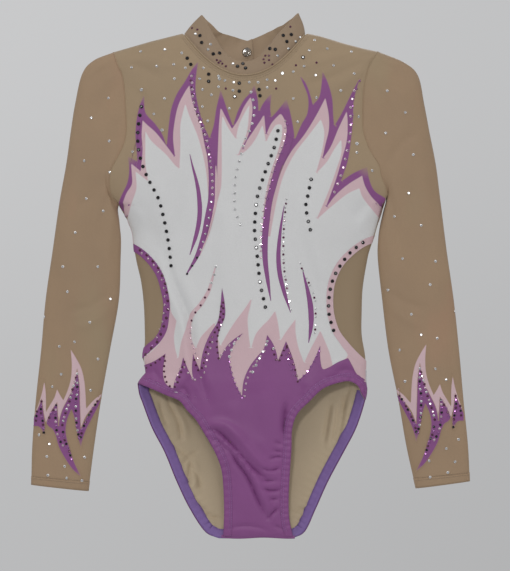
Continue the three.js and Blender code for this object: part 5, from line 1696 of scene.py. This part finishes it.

# ------------------------------------------------------------------ riding and cloth
for obj, material, slot, node in (
        (front_body, "nude", "nude_knit", "front_body"),
        (back_body, "nude", "nude_knit", "back_body"),
        (keyhole_binding, ("nude", "nude"), "nude_knit", "keyhole_binding"),
        (flame_purple, "purple_flame", "purple_knit", "flame_purple_applique"),
        (flame_pink, "pink", "pink_knit", "flame_pink_applique"),
        (flame_white, "white", "white_knit", "white_flame_panel"),
        (waist_pink, "pink_waist", "pink_knit", "waist_flame_pink_applique"),
        (brief_front, "purple", "purple_knit", "brief_front"),
        (front_lining, "lining", "lining_tricot", "brief_front_lining"),
        (brief_back, "purple", "purple_knit", "brief_back"),
        (back_lining, "lining", "lining_tricot", "brief_back_lining"),
        (crotch_liner, "lining", "lining_tricot", "crotch_liner"),
        (crotch_seam, "purple", "purple_knit", "crotch_seam")):
    piece(obj, material, nodes=[node])
set_fade(crotch_seam, np.ones(len(crotch_seam.data.vertices)))
for blade_name, blade in blades:
    piece(blade, "purple_blade", nodes=[blade_name])
for ribbon in ribbons:
    piece(ribbon, "pink_trim")
piece(trim_right, "purple_blade", nodes=["side_trim_right"])
piece(trim_left, "pink_trim", nodes=["side_trim_left"])
for side, face, binding in binding_pieces:
    where = "front" if face == FRONT else "back"
    set_fade(binding, np.ones(len(binding.data.vertices)))
    piece(binding, ("purple", "binding_inside"),
          nodes=[f"leg_binding_{where}_{side}", f"leg_elastic_{where}_{side}"])
piece(collar, ("collar", "collar_inside_painted_light"), nodes=["collar_front"])


def tab_blend(body, angle, way):
    """The bodies and two points of a blend from the torso to a tab's own body; piece only bakes the
    tab in place when given one.
    """
    a = collar_point(angle, 0.5, 0.0)
    b = collar_point(angle + way * 8, 0.5, 0.0)
    return ("torso", body, tuple(a * MM), tuple(b * MM))


piece(tab_left, ("collar", "collar_inside_painted_light"), nodes=["collar_tab_left"],
      blend=tab_blend("left_tab", TAB_ROOT, 1))
piece(tab_right, ("collar", "collar_inside_painted_light"), nodes=["collar_tab_right"],
      blend=tab_blend("right_tab", 360 - TAB_ROOT, -1))
for seam, node in zip(neck_seams, ("collar_seam_front", "collar_seam_back_left",
                                   "collar_seam_back_right")):
    piece(seam, "nude", nodes=[node])
for side in ("right", "left"):
    parts = sleeve_parts[side]
    piece(parts["upper"], "sleeve", blend=parts["shoulder"],
          nodes=[f"sleeve_cap_{side}", f"sleeve_upper_{side}"])
    piece(parts["lower"], "sleeve", blend=parts["elbow"],
          nodes=[f"sleeve_forearm_{side}"])
    piece(hems[side], "sleeve", f"{side}_forearm", nodes=[f"cuff_hem_{side}"])
    piece(cuffs[side, "pink"], "pink_cuff", f"{side}_forearm",
          nodes=[f"cuff_flame_pink_{side}"])
    piece(cuffs[side, "purple"], "purple_cuff", f"{side}_forearm",
          nodes=[f"cuff_flame_purple_{side}"])
    piece(cuff_rows[side], "thread", f"{side}_forearm")
    piece(armhole_seams[side], "sleeve")
    for colour, obj in sleeve_stones[side][0]:
        piece(obj, colour, blend=parts["shoulder"])
    for colour, obj in sleeve_stones[side][1]:
        piece(obj, colour, blend=parts["elbow"])
piece(leg_stitches, "thread_purple")
piece(leg_stitches_back, "thread_purple")
piece(neck_stitches, "thread")
piece(neck_stitches_back, "thread")
for colour, obj in torso_stones:
    piece(obj, colour)
for node in ("snap_cap_outer", "snap_socket", "snap_stud", "snap_cap_inner"):
    snap_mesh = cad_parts[node].data
    snap_mesh.materials.clear()
    snap_mesh.materials.append(M["snap"])

# ------------------------------------------------------------------ floor and light
FLOOR_Z = -760
FLOOR_RADIUS = 620
ring = [(FLOOR_RADIUS * math.cos(a), FLOOR_RADIUS * math.sin(a), FLOOR_Z)
        for a in np.linspace(0, 2 * math.pi, 96, endpoint=False)]
floor = make("floor", ring, [tuple(range(96))], sharp=0)
M["floor"] = plain("floor", srgb(205, 206, 208), 0.7, 0.0, 0.03, 3.0)
dress(floor, "floor")

world = bpy.data.worlds.new("studio")
scene.world = world
world.use_nodes = True
tree = world.node_tree
tree.nodes.clear()
world_out = tree.nodes.new("ShaderNodeOutputWorld")
sky = tree.nodes.new("ShaderNodeBackground")
way = tree.nodes.new("ShaderNodeTexCoord")
split = tree.nodes.new("ShaderNodeSeparateXYZ")
tree.links.new(way.outputs["Generated"], split.inputs[0])
tree.links.new(sky.outputs[0], world_out.inputs["Surface"])


def by_direction(axis, low, high, dim, bright):
    """A grey that goes from dim to bright with one axis of the direction."""
    node = tree.nodes.new("ShaderNodeMapRange")
    node.interpolation_type = "SMOOTHSTEP"
    for socket, value in (("From Min", low), ("From Max", high), ("To Min", dim),
                          ("To Max", bright)):
        node.inputs[socket].default_value = value
    tree.links.new(split.outputs[axis], node.inputs["Value"])
    return node.outputs["Result"]


def times(a, b):
    """The product of two node outputs."""
    node = tree.nodes.new("ShaderNodeMath")
    node.operation = "MULTIPLY"
    tree.links.new(a, node.inputs[0])
    tree.links.new(b, node.inputs[1])
    return node.outputs[0]


WALL = 0.525  # the pale wall's grey behind the garment
wall = times(by_direction("X", -0.11, 0.11, 1.02 * WALL, 0.94 * WALL),
             by_direction("Z", -0.11, 0.11, 0.92, 1.09))
tree.links.new(times(wall, by_direction("Y", -0.9, 0.7, 0.55, 1.0)), sky.inputs["Strength"])
sky.inputs["Color"].default_value = (0.995, 1.0, 1.012, 1)


AIM = (0, 0, -0.28)
SPARKLE_SIZE, SPARKLE_POWER = 0.08, 0.35


def area_light(name, place, aim, size, power):
    data = bpy.data.lights.new(name, "AREA")
    data.shape = "DISK"
    data.size = size
    data.energy = power
    obj = bpy.data.objects.new(name, data)
    obj.location = place
    obj.rotation_euler = (Vector(aim) - Vector(place)).to_track_quat("-Z", "Y").to_euler()
    scene.collection.objects.link(obj)


area_light("key", (-0.3, -2.5, 0.35), AIM, 0.3, 11.4)
area_light("fill", (0.7, -2.4, -0.2), (0, 0, -0.3), 0.7, 3.2)
area_light("left", (-1.45, -0.8, 0.55), AIM, 1.0, 2.6)
area_light("right", (1.45, -0.8, 0.2), AIM, 1.0, 2.2)
area_light("top", (0.0, -0.8, 1.35), AIM, 1.0, 3.3)
area_light("back", (0.3, 1.8, 0.8), AIM, 0.9, 12)
for number, spot in enumerate(((-0.35, -2.4, 0.1), (0.3, -2.5, 0.3), (0.1, -2.3, -0.6),
                               (-0.15, -2.6, 0.5), (0.55, -2.4, -0.1), (-0.6, -2.3, -0.3))):
    area_light(f"sparkle_{number}", spot, AIM, SPARKLE_SIZE, SPARKLE_POWER)
scene.view_settings.view_transform = "Standard"
scene.view_settings.look = "None"
